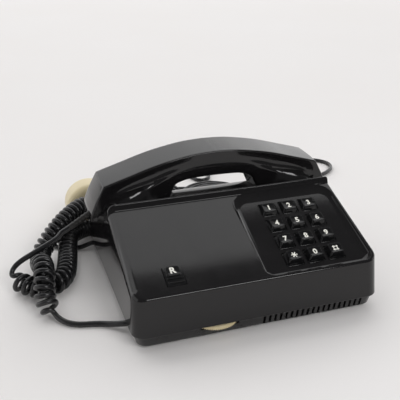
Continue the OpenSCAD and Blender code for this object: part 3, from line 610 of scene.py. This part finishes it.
def makePlug():
    p = plugSizes
    r = p["radius"]
    t = p["thick"]
    x, y, z = p["middle"]
    face = y - t / 2
    profile = [(0.01, 0), (r - 3, 0), (r - 2, 0.3), (r - 0.6, 1.2), (r - 0.1, 2.4), (r, 4), (r, t - 6.5),
               (r - 0.15, t - 5), (r - 0.8, t - 3.4), (r - 2, t - 1.8), (r - 3.6, t - 0.8),
               (r - 5.5, t - 0.3), (r - 7, t - 0.1), (9.5, t + 0.1), (9.2, t - 0.4), (8.6, t - 0.4),
               (8.3, t + 0.1), (4.4, t + 0.15), (4.2, t - 1.2), (0.01, t - 1.2)]
    disc = lathe(profile, (x, y + t / 2, z), (0, -1, 0), 72)
    nub = lathe([(0.01, -2), (4.4, -2), (4.4, 1), (4.0, 3.5), (3.5, 6), (3.3, 7), (0.01, 7)],
                (x + r, p["nubY"], z), (1, 0, 0), 32)
    plug = bodyMesh("linePlug", joined(disc, nub), 40)
    dress(plug, "base", "cream", creamPlastic, "line_plug")
    screw = lathe([(0.01, 0), (3.4, 0), (3.4, 0.5), (2.9, 0.8), (0.01, 0.9)], (x, face + 1.3, z),
                  (0, -1, 0), 28)
    head = bodyMesh("plugScrew", screw, 30)
    cutAway(head, bodyMesh("slit", boxShape(x - 4, x + 4, face - 1, face + 0.9, z - 0.4, z + 0.4), 30))
    tidyMesh(head, 30)
    dress(head, "base", "steel", steelPlain)
    blades = grown("plugBlades", boxRing, {"Count": p["blades"], "Radius": p["bladeRing"] * mm,
                                           "Size": [v * mm for v in p["blade"]], "Finish": brassPlain})
    lay = Matrix.Translation(Vector((x, y + t / 2 + p["blade"][2] / 2 - 0.5, z)) * mm)
    blades.data.transform(lay @ Matrix.Rotation(math.radians(90), 4, "X"))
    tidyMesh(blades, 30)
    dress(blades, "base", "brass", brassPlain, "plug_blades")
    return plug, head, blades


linePlug, plugScrew, plugBlades = makePlug()


def makeLineCord():
    path = linePath()
    cord = cordPiece("lineCord", path)
    dress(cord, "base", "cord_vinyl", cordVinyl, "line_cord", "line_coil", "line_tail")
    return cord


lineCord = makeLineCord()
print("line cord:", len(lineCord.data.polygons), "faces")


# top case

caseSizes = {"halfWidth": 106.5, "front": -95.0, "rear": 97.0, "split": 13.0, "frontTop": 44.8,
             "rearTop": 40.0, "frontIn": 4.0, "sideIn": 3.5, "sideRise": 68.0, "rearIn": 2.5, "tilt": 18.3,
             "corner": 11.0, "leftRound": 7.0, "rightRound": 1.8, "endRound": 2.0, "wall": 0.9}
roofCorners = [(-91, 44.8), (2.04, 75.57), (3.64, 81), (5.14, 81), (9.14, 72.8), (36.5, 72.8), (94.5, 40)]
roofRounds = [1.2, 1.1, 0.7, 2.0, 28.0]
sideRows = [-65, -50, -35, -20, -5, 17, 26, 45, 55, 65, 75]
panelTilt = math.radians(caseSizes["tilt"])


def onPanel(x, u, w):
    y = caseSizes["front"] + caseSizes["frontIn"] + u * math.cos(panelTilt) - w * math.sin(panelTilt)
    return x, y, caseSizes["frontTop"] + u * math.sin(panelTilt) + w * math.cos(panelTilt)


def caseStations():  # bottom, top and outward direction round the right half, front to rear
    c = caseSizes
    sideDraft = c["sideIn"] / c["sideRise"]
    frontDraft = c["frontIn"] / (c["frontTop"] - c["split"])
    rearDraft = c["rearIn"] / (c["rearTop"] - c["split"])
    r = c["corner"]
    panelSlope = math.tan(panelTilt)
    (deckY, deckZ), (lastY, lastZ) = roofCorners[-2:]
    rearSlope = (lastZ - deckZ) / (lastY - deckY)

    def cornerStation(angle, atFront):
        a = math.radians(angle)
        z = c["frontTop"] if atFront else c["rearTop"]
        for step in range(6):
            x = c["halfWidth"] - sideDraft * (z - c["split"]) - r + r * math.cos(a)
            if atFront:
                y = c["front"] + frontDraft * (z - c["split"]) + r + r * math.sin(a)
                z = c["frontTop"] + (y - c["front"] - c["frontIn"]) * panelSlope
            else:
                y = c["rear"] - rearDraft * (z - c["split"]) - r + r * math.sin(a)
                z = deckZ + (y - deckY) * rearSlope
        base = c["front"] + r if atFront else c["rear"] - r
        bottom = (c["halfWidth"] - r + r * math.cos(a), base + r * math.sin(a))
        slope = -(panelSlope if atFront else rearSlope) * math.sin(a)
        return bottom, (x, y, z), (math.cos(a), math.sin(a)), slope

    front = [cornerStation(a, True) for a in range(-90, 1, 10)]
    rear = [cornerStation(a, False) for a in range(0, 91, 10)]
    firstTop = front[-1][1][1]
    lastTop = rear[0][1][1]
    firstBottom = front[-1][0][1]
    lastBottom = rear[0][0][1]
    line = roundedLine(roofCorners, roofRounds, 5)
    ys = sorted([p[0] for p in line if firstTop + 1 < p[0] < lastTop - 1] + sideRows)
    sides = []
    for y in ys:
        z = lineAt(line, y)
        share = (y - firstTop) / (lastTop - firstTop)
        bottom = (c["halfWidth"], firstBottom + share * (lastBottom - firstBottom))
        sides.append((bottom, (c["halfWidth"] - sideDraft * (z - c["split"]), y, z), (1, 0), 0))
    return front + sides + rear


def edgeSection(station, radius, steps=6):  # the wall's foot and the arc over its top edge
    (bx, by), (x, y, z), (nx, ny), slope = station
    lean = (bx - x) * nx + (by - y) * ny
    arc = roundedLine([(-lean, caseSizes["split"] - z), (0, 0), (20, 20 * slope)], [radius], steps)[1:-1]
    return [(bx, by, caseSizes["split"])] + [(x - nx * p, y - ny * p, z + h) for p, h in arc]


def makeCaseBlock():
    c = caseSizes
    sections = {1: [], -1: []}
    for station in caseStations():
        turn = station[2][0]  # 0 at the front and rear, 1 along the sides
        for side, radius in ((1, c["rightRound"]), (-1, c["leftRound"])):
            section = edgeSection(station, c["endRound"] + (radius - c["endRound"]) * turn)
            sections[side].append([(side * x, y, z) for x, y, z in section])
    rows = [right + list(reversed(left)) for right, left in zip(sections[1], sections[-1])]
    points, faces = loft(rows, capped=False)
    size = len(rows[0])
    half = size // 2
    for start in (0, len(points) - size):  # front and rear faces, rung by rung
        for k in range(half - 1):
            faces.append((start + k, start + k + 1, start + size - 2 - k, start + size - 1 - k))
    return bodyMesh("caseShell", (points, faces), 30)


dishSizes = {"x": (4.7, 101.5), "u": (2.2, 101.0), "depth": 5.0, "round": 6.0, "sweep": 13.0,
             "frontCorner": 9.0, "rearCorner": 15.0, "rim": 0.8, "rimStart": 4.5, "steps": 12, "lean": 0.04,
             "leanFrom": 20.0}


def hollow(radius, height):
    return 0 if height >= radius else radius - math.sqrt(radius ** 2 - (radius - height) ** 2)


def makeDishCutter():
    d = dishSizes
    r = d["round"]
    turn = math.acos(1 - d["rimStart"] / r)
    levels = [(r * (1 - math.cos(turn * k / 9)), r * (1 - math.sin(turn * k / 9))) for k in range(10)]
    for k in range(1, 7):  # the rim rolls over into the panel
        a = turn + (math.radians(12) - turn) * k / 6
        levels.append((d["rimStart"] + d["rim"] * (math.cos(a) - math.cos(turn)),
                       levels[9][1] - d["rim"] * (math.sin(turn) - math.sin(a))))
    levels += [(h, levels[-1][1]) for h in (6.5, 8, 9.5, 11, 12.2, 13, 40)]
    loops = []
    for height, inset in levels:
        back = hollow(d["sweep"], height)
        front = d["frontCorner"] - inset
        rear = d["rearCorner"] - inset
        loop = roundedRect(d["x"][0] + inset, d["x"][1] - inset, d["u"][0] + inset, d["u"][1] - back,
                           (front, rear, rear, front), d["steps"])
        lean = d["lean"] * max(0.0, 1 - height / d["rimStart"])  # the floor climbs a little to the rear
        loops.append([onPanel(x, u, height - d["depth"] + lean * (u - d["leanFrom"])) for x, u in loop])
    return bodyMesh("dishCutter", loft(loops), 30)


def panelLoop(x, u, width, length, radius, w, lean=dishSizes["lean"]):
    loop = roundedRect(x - width / 2, x + width / 2, u - length / 2, u + length / 2, (radius,) * 4, 5)
    return [onPanel(px, pu, w + lean * (pu - u)) for px, pu in loop]


def panelPrism(x, u, width, length, radius, low, high):
    return bodyMesh("hole", loft([panelLoop(x, u, width, length, radius, w, 0) for w in (low, high)]), 30)


keypadSizes = {"x": 54.5, "u": 20.1, "pitch": 19.0, "skirt": (15.5, 14.5), "base": (14.4, 13.2),
               "top": (10.8, 8.8), "skirtTop": -0.4, "foot": -2.2, "topHeight": 0.4, "dish": 0.55,
               "round": 1.6, "gap": 0.4, "holeRound": 1.9, "bed": -10.4, "holeTop": 1.0}
recallSizes = {"place": (-67.8, 18.7), "plate": (15.6, 19.4), "height": 0.6, "foot": -6.0,
               "cap": (12.8, 9.6), "capTop": (10.6, 7.4), "capAt": 4.2, "capHeight": 2.3,
               "ridges": (-6.4, -2.6), "ridge": (13.6, 1.7, 0.9), "gap": 0.4, "holeRound": 1.3,
               "hole": (-9.0, 4.0)}
cradleSizes = {"cups": 80.0, "y": 44.0, "well": 35.0, "wellFloor": 57.02, "clear": 110.0, "plunger": 3.3,
               "plungerHole": (45.0, 60.0), "deckHalf": 38.0, "pocket": 21.5}


def keyPlace(column, row):
    k = keypadSizes
    return k["x"] + (column - 1) * k["pitch"], k["u"] + (3 - row) * k["pitch"]


def standing(radius, low, high, x, y):
    return bodyMesh("cutter", lathe([(radius, low), (radius, high)], (x, y, 0), (0, 0, 1), 72), 30)


def makeCaseShell():
    k = keypadSizes
    r = recallSizes
    c = cradleSizes
    y = c["y"]
    shell = makeCaseBlock()
    cutAway(shell, makeDishCutter())
    tidyMesh(shell, 30)
    width, length = [v + 2 * k["gap"] for v in k["skirt"]]
    holes = [panelPrism(*keyPlace(column, row), width, length, k["holeRound"], k["bed"], k["holeTop"])
             for row in range(4) for column in range(3)]
    width, length = [v + 2 * r["gap"] for v in r["plate"]]
    cutAway(shell, *holes, panelPrism(*r["place"], width, length, r["holeRound"], *r["hole"]))
    for side in (-1, 1):
        x = side * c["cups"]
        ends = sorted((side * c["deckHalf"], x))
        pocket = boxShape(*ends, y - c["pocket"], y + c["pocket"], c["wellFloor"], c["clear"])
        cutAway(shell, standing(c["well"], c["wellFloor"], c["clear"], x, y), bodyMesh("pocket", pocket, 30),
                standing(c["plunger"], *c["plungerHole"], x, y))
    work = bmesh.new()
    work.from_mesh(shell.data)
    foot = (caseSizes["split"] + 0.01) * mm
    under = [f for f in work.faces if all(v.co.z < foot for v in f.verts)]
    bmesh.ops.delete(work, geom=under, context="FACES")
    work.to_mesh(shell.data)
    work.free()
    tidyMesh(shell, 28)
    wall = shell.modifiers.new("wall", "SOLIDIFY")
    wall.thickness = caseSizes["wall"] * mm
    wall.offset = -1
    weight = shell.modifiers.new("evenShade", "WEIGHTED_NORMAL")
    weight.keep_sharp = True
    dress(shell, "base", "case_black", caseBlack, "top_case")
    return shell


caseShell = makeCaseShell()
print("case shell:", len(caseShell.data.polygons), "faces")


# base tray

traySizes = {"low": 2.0, "inset": 4.6, "topInset": 2.2, "lip": 0.7, "bottomCorner": 8.0, "edge": 1.0,
             "slots": 19, "slotStart": 2.8, "slotPitch": 4.85, "slot": (2.0, 14.0, 9.4), "slotLow": 2.8,
             "wheelSlot": (-52.0, -20.0, -99.0, -84.0, 8.8, 16.0),
             "cordSlot": (-112.0, -94.5, -72.0, -54.0, 4.5, 16.0)}


def makeTray():
    t = traySizes
    c = caseSizes
    low = t["low"]
    top = c["split"]
    first = t["inset"] - (t["inset"] - t["topInset"]) * t["edge"] / (top - low)
    levels = ((low, t["inset"] + t["edge"]), (low + 0.3, t["inset"] + 0.3 * t["edge"]),
              (low + t["edge"], first), (top - t["lip"], t["topInset"]), (top - t["lip"] + 0.1, 0.3),
              (top - 0.05, 0.05))
    loops = []
    for z, inset in levels:
        radius = c["corner"] + (t["bottomCorner"] - c["corner"]) * inset / t["inset"]
        loop = roundedRect(-c["halfWidth"] + inset, c["halfWidth"] - inset, c["front"] + inset,
                           c["rear"] - inset, (radius,) * 4, 10)
        loops.append([(x, y, z) for x, y in loop])
    tray = bodyMesh("baseTray", loft(loops), 30)
    start = (t["slotStart"], c["front"] - 2 + t["slot"][1] / 2, t["slotLow"] + t["slot"][2] / 2)
    slots = grown("grilleSlots", boxRow, {"Count": t["slots"], "Start": [v * mm for v in start],
                                          "Step": [t["slotPitch"] * mm, 0, 0],
                                          "Size": [v * mm for v in t["slot"]], "Finish": trayBlack})
    tidyMesh(slots, 30)
    cutAway(tray, slots, *[bodyMesh("slot", boxShape(*t[name]), 30) for name in ("wheelSlot", "cordSlot")])
    tidyMesh(tray, 30)
    return dress(tray, "base", "tray_black", trayBlack, "base_tray")


baseTray = makeTray()
print("tray:", len(baseTray.data.polygons), "faces")


# volume wheel, feet, glands and boot

wheelSizes = {"place": (-36.0, -77.0), "radius": 19.4, "low": 9.3, "high": 11.9, "bore": 2.2, "round": 0.5,
              "ribs": 72, "rib": (1.0, 0.8, 2.3), "proud": 0.05}


def makeWheel():
    w = wheelSizes
    x, y = w["place"]
    r = w["radius"]
    e = w["round"]
    low = w["low"]
    high = w["high"]
    profile = [(w["bore"], low), (r - e, low), (r, low + e), (r, high - e), (r - e, high), (w["bore"], high),
               (w["bore"], low)]
    wheel = grown("volumeWheel", boxRing, {"Count": w["ribs"], "Radius": (r + w["proud"]) * mm,
                                           "Size": [v * mm for v in w["rib"]], "Finish": creamPlastic})
    wheel.data.transform(Matrix.Translation(Vector((x, y, (low + high) / 2)) * mm))
    takeIn(wheel, bodyMesh("wheelDisc", lathe(profile, (x, y, 0), (0, 0, 1), 72)))
    tidyMesh(wheel, 30)
    dress(wheel, "volume_wheel", "cream", creamPlastic, "volume_wheel")


makeWheel()
footSizes = {"places": ((-86.5, -80), (86.5, -80), (-86.5, 82), (86.5, 82)), "radius": 6.0, "height": 2.0}


def makeFeet():
    r = footSizes["radius"]
    h = footSizes["height"]
    profile = [(0.01, 0), (r - 1.4, 0), (r - 0.8, 0.15), (r - 0.35, 0.6), (r - 0.1, h - 0.3), (r, h + 0.2),
               (0.01, h + 0.2)]
    shapes = [lathe(profile, (x, y, 0), (0, 0, 1), 36) for x, y in footSizes["places"]]
    dress(bodyMesh("rubberFeet", joined(*shapes), 40), "base", "foot_rubber", footRubber, "feet")


makeFeet()
glandSizes = {"rings": ((-94.6, 0.0), (-97.5, 0.0), (-98.9, 0.5), (-99.5, 1.4)), "y": (-71.7, -54.3),
              "z": (4.5, 12.5), "round": 1.6, "collar": (-99.2, -63, 7.6)}


def makeGland():
    g = glandSizes
    loops = []
    for x, inset in g["rings"]:
        loop = roundedRect(g["y"][0] + inset, g["y"][1] - inset, g["z"][0] + inset, g["z"][1] - inset,
                           (g["round"],) * 4, 4)
        loops.append([(x, y, z) for y, z in loop])
    profile = [(4.4, -1), (4.4, 0.8), (3.6, 2.2), (2.9, 3.6), (2.3, 3.8), (2.3, -1)]
    gland = joined(loft(loops), lathe(profile, g["collar"], (-1, 0, 0), 32))
    dress(bodyMesh("cordGland", gland, 40), "base", "gland_rubber", glandRubber, "base_gland")


makeGland()


def makeBoot():
    b = bootSizes
    end = b["length"]
    profile = [(0.01, -2.0), (b["thick"], -2.0), (b["thick"], 2.5)]
    step = (end - 6) / b["grooves"]
    for k in range(b["grooves"]):  # rings of the strain relief
        at = 3 + k * step
        radius = b["thick"] + (b["thin"] - b["thick"]) * at / end
        profile += [(radius, at), (radius - b["groove"], at + 0.3), (radius - b["groove"], at + 1.1),
                    (radius - 0.05, at + 1.4), (radius - 0.12, at + step - 0.2)]
    profile += [(b["thin"], end - 1), (b["thin"] - 0.4, end), (2.25, end), (2.25, end - 3), (0.01, end - 3)]
    boot = bodyMesh("handsetBoot", lathe(profile, b["root"], b["way"], 32), 40)
    dress(boot, "handset", "gland_rubber", glandRubber, "handset_boot")


makeBoot()
print("wheel, feet, gland and boot made")


# keys

keyRows = (("1", "2", "3"), ("4", "5", "6"), ("7", "8", "9"), ("star", "0", "hash"))
markSizes = {"height": 5.4, "bold": 0.032, "starArm": 2.8, "starWidth": 0.85, "hashHalf": 1.6,
             "hashArm": 2.6, "hashWidth": 0.85, "recall": 6.0, "rise": 0.07, "sink": 0.25}


def letterShape(text, height):
    curve = bpy.data.curves.new("mark", "FONT")
    curve.body = text
    curve.size = 1.0
    curve.offset = markSizes["bold"]
    curve.resolution_u = 6
    curve.align_x = "CENTER"
    obj = bpy.data.objects.new("mark", curve)
    scene.collection.objects.link(obj)
    mesh = evaluatedMesh(obj)
    bpy.data.objects.remove(obj)
    xs = [v.co.x for v in mesh.vertices]
    ys = [v.co.y for v in mesh.vertices]
    scale = height / (max(ys) - min(ys))
    midX = (max(xs) + min(xs)) / 2
    midY = (max(ys) + min(ys)) / 2
    points = [((v.co.x - midX) * scale, (v.co.y - midY) * scale) for v in mesh.vertices]
    return points, [tuple(p.vertices) for p in mesh.polygons]


def barShape(x0, y0, x1, y1, width):
    along = Vector((x1 - x0, y1 - y0)).normalized() * width / 2
    side = Vector((-along.y, along.x))
    a = Vector((x0, y0))
    b = Vector((x1, y1))
    return [tuple(a - side), tuple(b - side), tuple(b + side), tuple(a + side)], [(0, 1, 2, 3)]


def markShape(mark):
    m = markSizes
    if mark == "star":
        arms = [math.radians(a) for a in (0, 60, 120)]
        bars = [(math.cos(a) * m["starArm"], math.sin(a) * m["starArm"]) for a in arms]
        return joined(*[barShape(-x, -y, x, y, m["starWidth"]) for x, y in bars])
    if mark == "hash":
        h = m["hashHalf"]
        r = m["hashArm"]
        bars = [(-h, -r, -h, r), (h, -r, h, r), (-r, -h, r, -h), (-r, h, r, h)]
        return joined(*[barShape(*bar, m["hashWidth"]) for bar in bars])
    return letterShape(mark, m["height"])


def raisedMark(shape, x, u, height):  # a closed slab; height(dx, du) is the surface that carries it
    points, faces = shape
    count = len(points)
    slab = []
    for level in (markSizes["rise"], -markSizes["sink"]):
        slab += [onPanel(x + dx, u + du, height(dx, du) + level) for dx, du in points]
    sides = [pair for face in faces for pair in zip(face, face[1:] + face[:1])]
    known = set(sides)
    rims = [(b, a, a + count, b + count) for a, b in sides if (b, a) not in known]
    return slab, faces + [tuple(count + i for i in reversed(face)) for face in faces] + rims


def stepLoops(x, u, size, steps):  # steps: narrower by, corner radius, height
    return [panelLoop(x, u, size[0] - less, size[1] - less, radius, w) for less, radius, w in steps]


def capLoops(x, u, base, top, low, high, dish, edge=0.35):
    loops = stepLoops(x, u, base, ((-0.9, 2.0, low), (-0.3, 1.8, low + 0.15), (0, 1.7, low + 0.5)))
    for k in range(5):
        a = math.radians(20 + 70 * k / 4)
        grow = 2 * edge * math.cos(a)
        loops.append(panelLoop(x, u, top[0] + grow, top[1] + grow, 1.5, high - edge * (1 - math.sin(a))))
    for share in (0.92, 0.8, 0.6, 0.4, 0.2):
        loops.append(panelLoop(x, u, top[0] * share, top[1] * share, 1.45 * share,
                               high - dish * (1 - share * share)))
    return loops


def withPrint(obj, shape):
    takeIn(obj, bodyMesh("print", shape, 30), 1)
    obj.data.materials.append(printWhite)


def makeKey(mark, column, row):
    k = keypadSizes
    name = "key_" + mark
    x, u = keyPlace(column, row)
    floor = dishSizes["lean"] * (u - dishSizes["leanFrom"]) - dishSizes["depth"]
    rim = floor + k["skirtTop"]
    r = k["round"]
    loops = stepLoops(x, u, k["skirt"], ((0, r, floor + k["foot"]), (0, r, rim - 0.5), (0.3, r, rim - 0.15),
                                         (0.6, r, rim)))
    loops += capLoops(x, u, k["base"], k["top"], rim, k["topHeight"], k["dish"])
    key = bodyMesh("key" + mark + "Cap", loft(loops), 40)
    dress(key, name, "key_black", keyBlack, name)

    def surface(dx, du):
        share = max(abs(dx) * 2 / k["top"][0], abs(du) * 2 / k["top"][1])
        return k["topHeight"] - k["dish"] * (1 - share * share) + dishSizes["lean"] * du

    withPrint(key, raisedMark(markShape(mark), x, u, surface))


for row, marks in enumerate(keyRows):
    for column, mark in enumerate(marks):
        makeKey(mark, column, row)


def makeRecall():
    r = recallSizes
    x, u = r["place"]
    h = r["height"]
    rise = r["ridge"][2]
    plate = stepLoops(x, u, r["plate"], ((0, 1.2, r["foot"]), (0, 1.2, h - 0.4), (0.3, 1.1, h - 0.1),
                                         (0.9, 1.0, h)))
    cap = capLoops(x, u + r["capAt"], r["cap"], r["capTop"], h - 0.3, r["capHeight"], 0.25, 0.4)
    ridges = [stepLoops(x, u + at, r["ridge"], ((0, 0.5, h - 0.3), (0.3, 0.5, h + rise - 0.3),
                                                (0.9, 0.3, h + rise))) for at in r["ridges"]]
    button = bodyMesh("recallButton", joined(*[loft(loops) for loops in (plate, cap, *ridges)]), 40)
    dress(button, "recall_button", "key_black", keyBlack, "recall_button")
    withPrint(button, raisedMark(letterShape("R", markSizes["recall"]), x, u + r["capAt"],
                                 lambda dx, du: r["capHeight"] - 0.12 + dishSizes["lean"] * du))


makeRecall()
print("keys and recall button made")


# handset

handsetSizes = {"y": 44.0, "low": 57.9, "half": 19.0, "cupX": 80.0, "endRadius": 180.0, "edge": 1.3,
                "scoop": 1.2, "roundUnder": 5.0, "fold": 7.0, "rows": 40, "shoulder": 2.6, "bulge": 3.0,
                "scoopIn": (14, 48), "scoopOut": (92, 106), "handleEnd": (33, 47), "bulgeIn": (36, 74),
                "bulgeOut": (88, 108), "bowIn": (70, 110)}
archTop = [(0, 110.2), (10, 109.9), (22, 109), (36, 106.8), (50, 104), (63, 100.6), (76, 96.6), (94, 91.4)]
archEnd = [(94, 91.4), (102, 89), (105.9, 83.6), (110.2, 74.2), (113.5, 65.6), (115, 57.9)]
archUnder = [(0, 85.4), (12, 85.2), (24, 84.5), (30, 83.2), (37, 80), (41, 73), (48, 57.9)]
bellyLine = [(-1, 99.2), (0, 99.2), (23, 97.2), (42, 91.9), (60, 86), (77, 82), (89, 78), (95, 74),
             (105, 66), (115, 57.9)]
cupProfile = [(0, 33), (5, 32.7), (13, 29.5), (21, 24.5), (28, 19), (40, 10)]
endCorners = [(94, 91.4), (102.3, 88.9), (110.2, 74.2), (114.2, 64.6), (115, 57.9)]
endRounds = [3.0, 40, 14]


def outlineTop(x):
    return curveAt(archTop, x) if x < 94 else lineAt(archEnd, x)


def handsetHalfWidth(x, z):
    h = handsetSizes
    x = abs(x)
    belly = curveAt(bellyLine, x)
    half = h["half"]
    if z > belly:
        top = max(outlineTop(x), belly + 1)
        v = min(1.0, (z - belly) / (top - belly))
        fade = smoothStep(x, *h["scoopIn"]) * (1 - smoothStep(x, *h["scoopOut"]))
        return half - h["scoop"] * fade * 16 * v * v * (1 - v) ** 2
    drop = belly - z
    under = max(belly - curveAt(archUnder, x), 1) if x < 48 else 30
    handle = 1 - smoothStep(x, *h["handleEnd"])
    share = min(1.0, drop / under)
    half -= handle * h["roundUnder"] * (1 - math.sqrt(max(0.0, 1 - share * share)))
    # below the fold the cups' fronts stand out and drop straight
    fall = 1 - min(1.0, drop / h["shoulder"])
    out = h["bulge"] * smoothStep(x, *h["bulgeIn"]) * (1 - smoothStep(x, *h["bulgeOut"]))
    half += out * math.sqrt(1 - fall * fall)
    reach = lineAt(cupProfile, z - h["low"])
    chord = math.sqrt(max(0.0, reach ** 2 - (x - h["cupX"]) ** 2))
    # the cup swells softly out of the bar
    gap = math.hypot(chord - half, h["fold"] * smoothStep(chord, 0, half))
    return (half + chord + gap) / 2


def handsetRibs():  # pairs of points on the top and under outlines, middle to right end
    h = handsetSizes
    ribs = []
    for k in range(16):
        ribs.append(((k * 2.0, curveAt(archTop, k * 2.0)), (k * 1.8, curveAt(archUnder, k * 1.8))))
    inner = throughPoints([(x, 0, z) for x, z in archUnder[2:]], 30)
    run = runAlong(inner)
    first = next(i for i, p in enumerate(inner) if p.x > 28.2)
    xAt = [(s, p.x) for s, p in zip(run, inner)]
    zAt = [(s, p.z) for s, p in zip(run, inner)]
    for k in range(24):
        s = run[first] + (run[-1] - run[first]) * k / 23
        x = 31.5 + 1.3 * k
        ribs.append(((x, curveAt(archTop, x)), (lineAt(xAt, s), lineAt(zAt, s))))
    for k in range(24):
        x = 62.7 + 31.3 * k / 23
        ribs.append(((x, curveAt(archTop, x)), (49.5 + 43.1 * k / 23, h["low"])))
    end = roundedLine(endCorners, endRounds, 8)
    for k, (x, z) in enumerate(end[1:]):
        share = (k + 1) / (len(end) - 1)
        ribs.append(((x, z), (92.6 + (115 - 92.6) * share, h["low"])))
    return ribs


def handsetLoop(top, low, flip):
    h = handsetSizes
    (tx, tz), (lx, lz) = top, low
    length = max(math.hypot(tx - lx, tz - lz), 1e-6)
    downX = (lx - tx) / length
    downZ = (lz - tz) / length
    edge = min(h["edge"], length * 0.3)
    half = []
    wide = handsetHalfWidth(tx, tz)
    for share in (0.0, 0.35, 0.7, 0.9):  # across the top
        half.append((share * (wide - edge), 0.0))
    for k in range(6):
        a = math.radians(90 * k / 5)
        half.append((wide - edge + edge * math.sin(a), edge * (1 - math.cos(a))))
    for k in range(1, h["rows"] + 1):
        d = edge + (length - edge) * k / h["rows"]
        half.append((handsetHalfWidth(tx + downX * d, tz + downZ * d), d))
    lastHalf = half[-1][0]
    for share in (0.8, 0.45, 0.0):  # across the underside
        half.append((lastHalf * share, length))
    ring = half + [(-y, d) for y, d in reversed(half[1:-1])]
    points = []
    for y, d in ring:
        x = tx + downX * d
        z = tz + downZ * d
        bow = y * y / (2 * h["endRadius"]) * smoothStep(x, *h["bowIn"])
        points.append((flip * (x - bow), h["y"] - y, z))
    return points


def makeHandset():
    ribs = handsetRibs()
    loops = [handsetLoop(top, low, -1) for top, low in reversed(ribs)]
    loops += [handsetLoop(top, low, 1) for top, low in ribs[1:]]
    shell = bodyMesh("handsetShell", loft(loops), 34)
    return dress(shell, "handset", "case_black", handsetBlack, "handset_shell")


handsetShell = makeHandset()
print("handset:", len(handsetShell.data.polygons), "faces")


# floor, backdrop and light

stageSizes = {"half": 4.0, "front": -3.0, "rear": 4.5, "curve": 0.6, "height": 2.0}


def makeStage():
    s = stageSizes
    line = [(s["front"], 0.0), (s["rear"], 0.0)]
    for k in range(1, 13):
        a = math.radians(90 * k / 12)
        line.append((s["rear"] + s["curve"] * math.sin(a), s["curve"] * (1 - math.cos(a))))
    line.append((s["rear"] + s["curve"], s["height"]))
    rows = [[(-s["half"] / mm, y / mm, z / mm), (s["half"] / mm, y / mm, z / mm)] for y, z in line]
    points = [p for row in rows for p in row]
    faces = [(2 * i, 2 * i + 1, 2 * i + 3, 2 * i + 2) for i in range(len(rows) - 1)]
    sheet = bodyMesh("paperSweep", (points, faces))
    sheet.data.shade_smooth()
    material = bpy.data.materials.new("paperWhite")
    material.use_nodes = True
    tree = material.node_tree
    shader = tree.nodes["Principled BSDF"]
    setInputs(shader, {"Roughness": 0.8, "Specular IOR Level": 0.1})
    grain = noiseNode(tree, 3.0, 3.0, tree.nodes.new("ShaderNodeTexCoord").outputs["Object"])
    tint = tintNode(tree, (0.81, 0.785, 0.77), (0.83, 0.815, 0.81), grain.outputs[0])
    tree.links.new(tint, shader.inputs["Base Color"])
    sheet.data.materials.append(material)


makeStage()

lampSetting = (
    {"name": "rearLow", "place": (0.2, 2.3, 1.2), "aim": (0.2, 0, 1.2), "size": (7.0, 2.3),
     "radiance": 0.75},
    {"name": "rearWash", "place": (0.2, 2.35, 1.2), "aim": (0.2, 0, 1.2), "size": (7.0, 2.3),
     "radiance": 0.6, "inGloss": False},
    {"name": "rearHigh", "place": (0.2, 2.3, 4.2), "aim": (0.2, 0, 4.2), "size": (7.0, 3.7),
     "radiance": 1.0},
    {"name": "leftLow", "place": (-2.4, 0.4, 1.0), "aim": (0, 0.4, 1.0), "size": (3.0, 1.9),
     "radiance": 0.6},
    {"name": "rightLow", "place": (2.6, 0.6, 1.0), "aim": (0, 0.6, 1.0), "size": (3.0, 1.9),
     "radiance": 1.0},
    {"name": "frontSoft", "place": (0.45, -1.3, 1.25), "aim": (0, 0, 0), "size": (0.8, 0.5),
     "radiance": 6.0},
    {"name": "topWash", "place": (-0.1, 0.5, 1.9), "aim": (-0.1, 0.5, 0), "size": (1.5, 1.3),
     "radiance": 0.9, "inGloss": False},
    {"name": "frontWash", "place": (-0.5, -2.2, 0.9), "aim": (0, 0, 0.02), "size": (1.6, 1.0),
     "radiance": 1.6, "inGloss": False},
)
for lamp in lampSetting:
    data = bpy.data.lights.new(lamp["name"], "AREA")
    data.shape = "RECTANGLE"
    data.size, data.size_y = lamp["size"]
    data.energy = lamp["radiance"] * 4 * data.size * data.size_y
    obj = bpy.data.objects.new(lamp["name"], data)
    obj.location = lamp["place"]
    obj.rotation_euler = (Vector(lamp["aim"]) - Vector(lamp["place"])).to_track_quat("-Z", "Y").to_euler()
    obj.visible_camera = False
    obj.visible_glossy = lamp.get("inGloss", True)
    scene.collection.objects.link(obj)

worldLevel = {"fill": 0.13}
world = bpy.data.worlds.new("studio")
world.use_nodes = True
scene.world = world
background = world.node_tree.nodes["Background"]
background.inputs["Color"].default_value = (0.98, 0.98, 1.0, 1)
background.inputs["Strength"].default_value = worldLevel["fill"]
scene.view_settings.view_transform = "Standard"
print("stage and lights made")
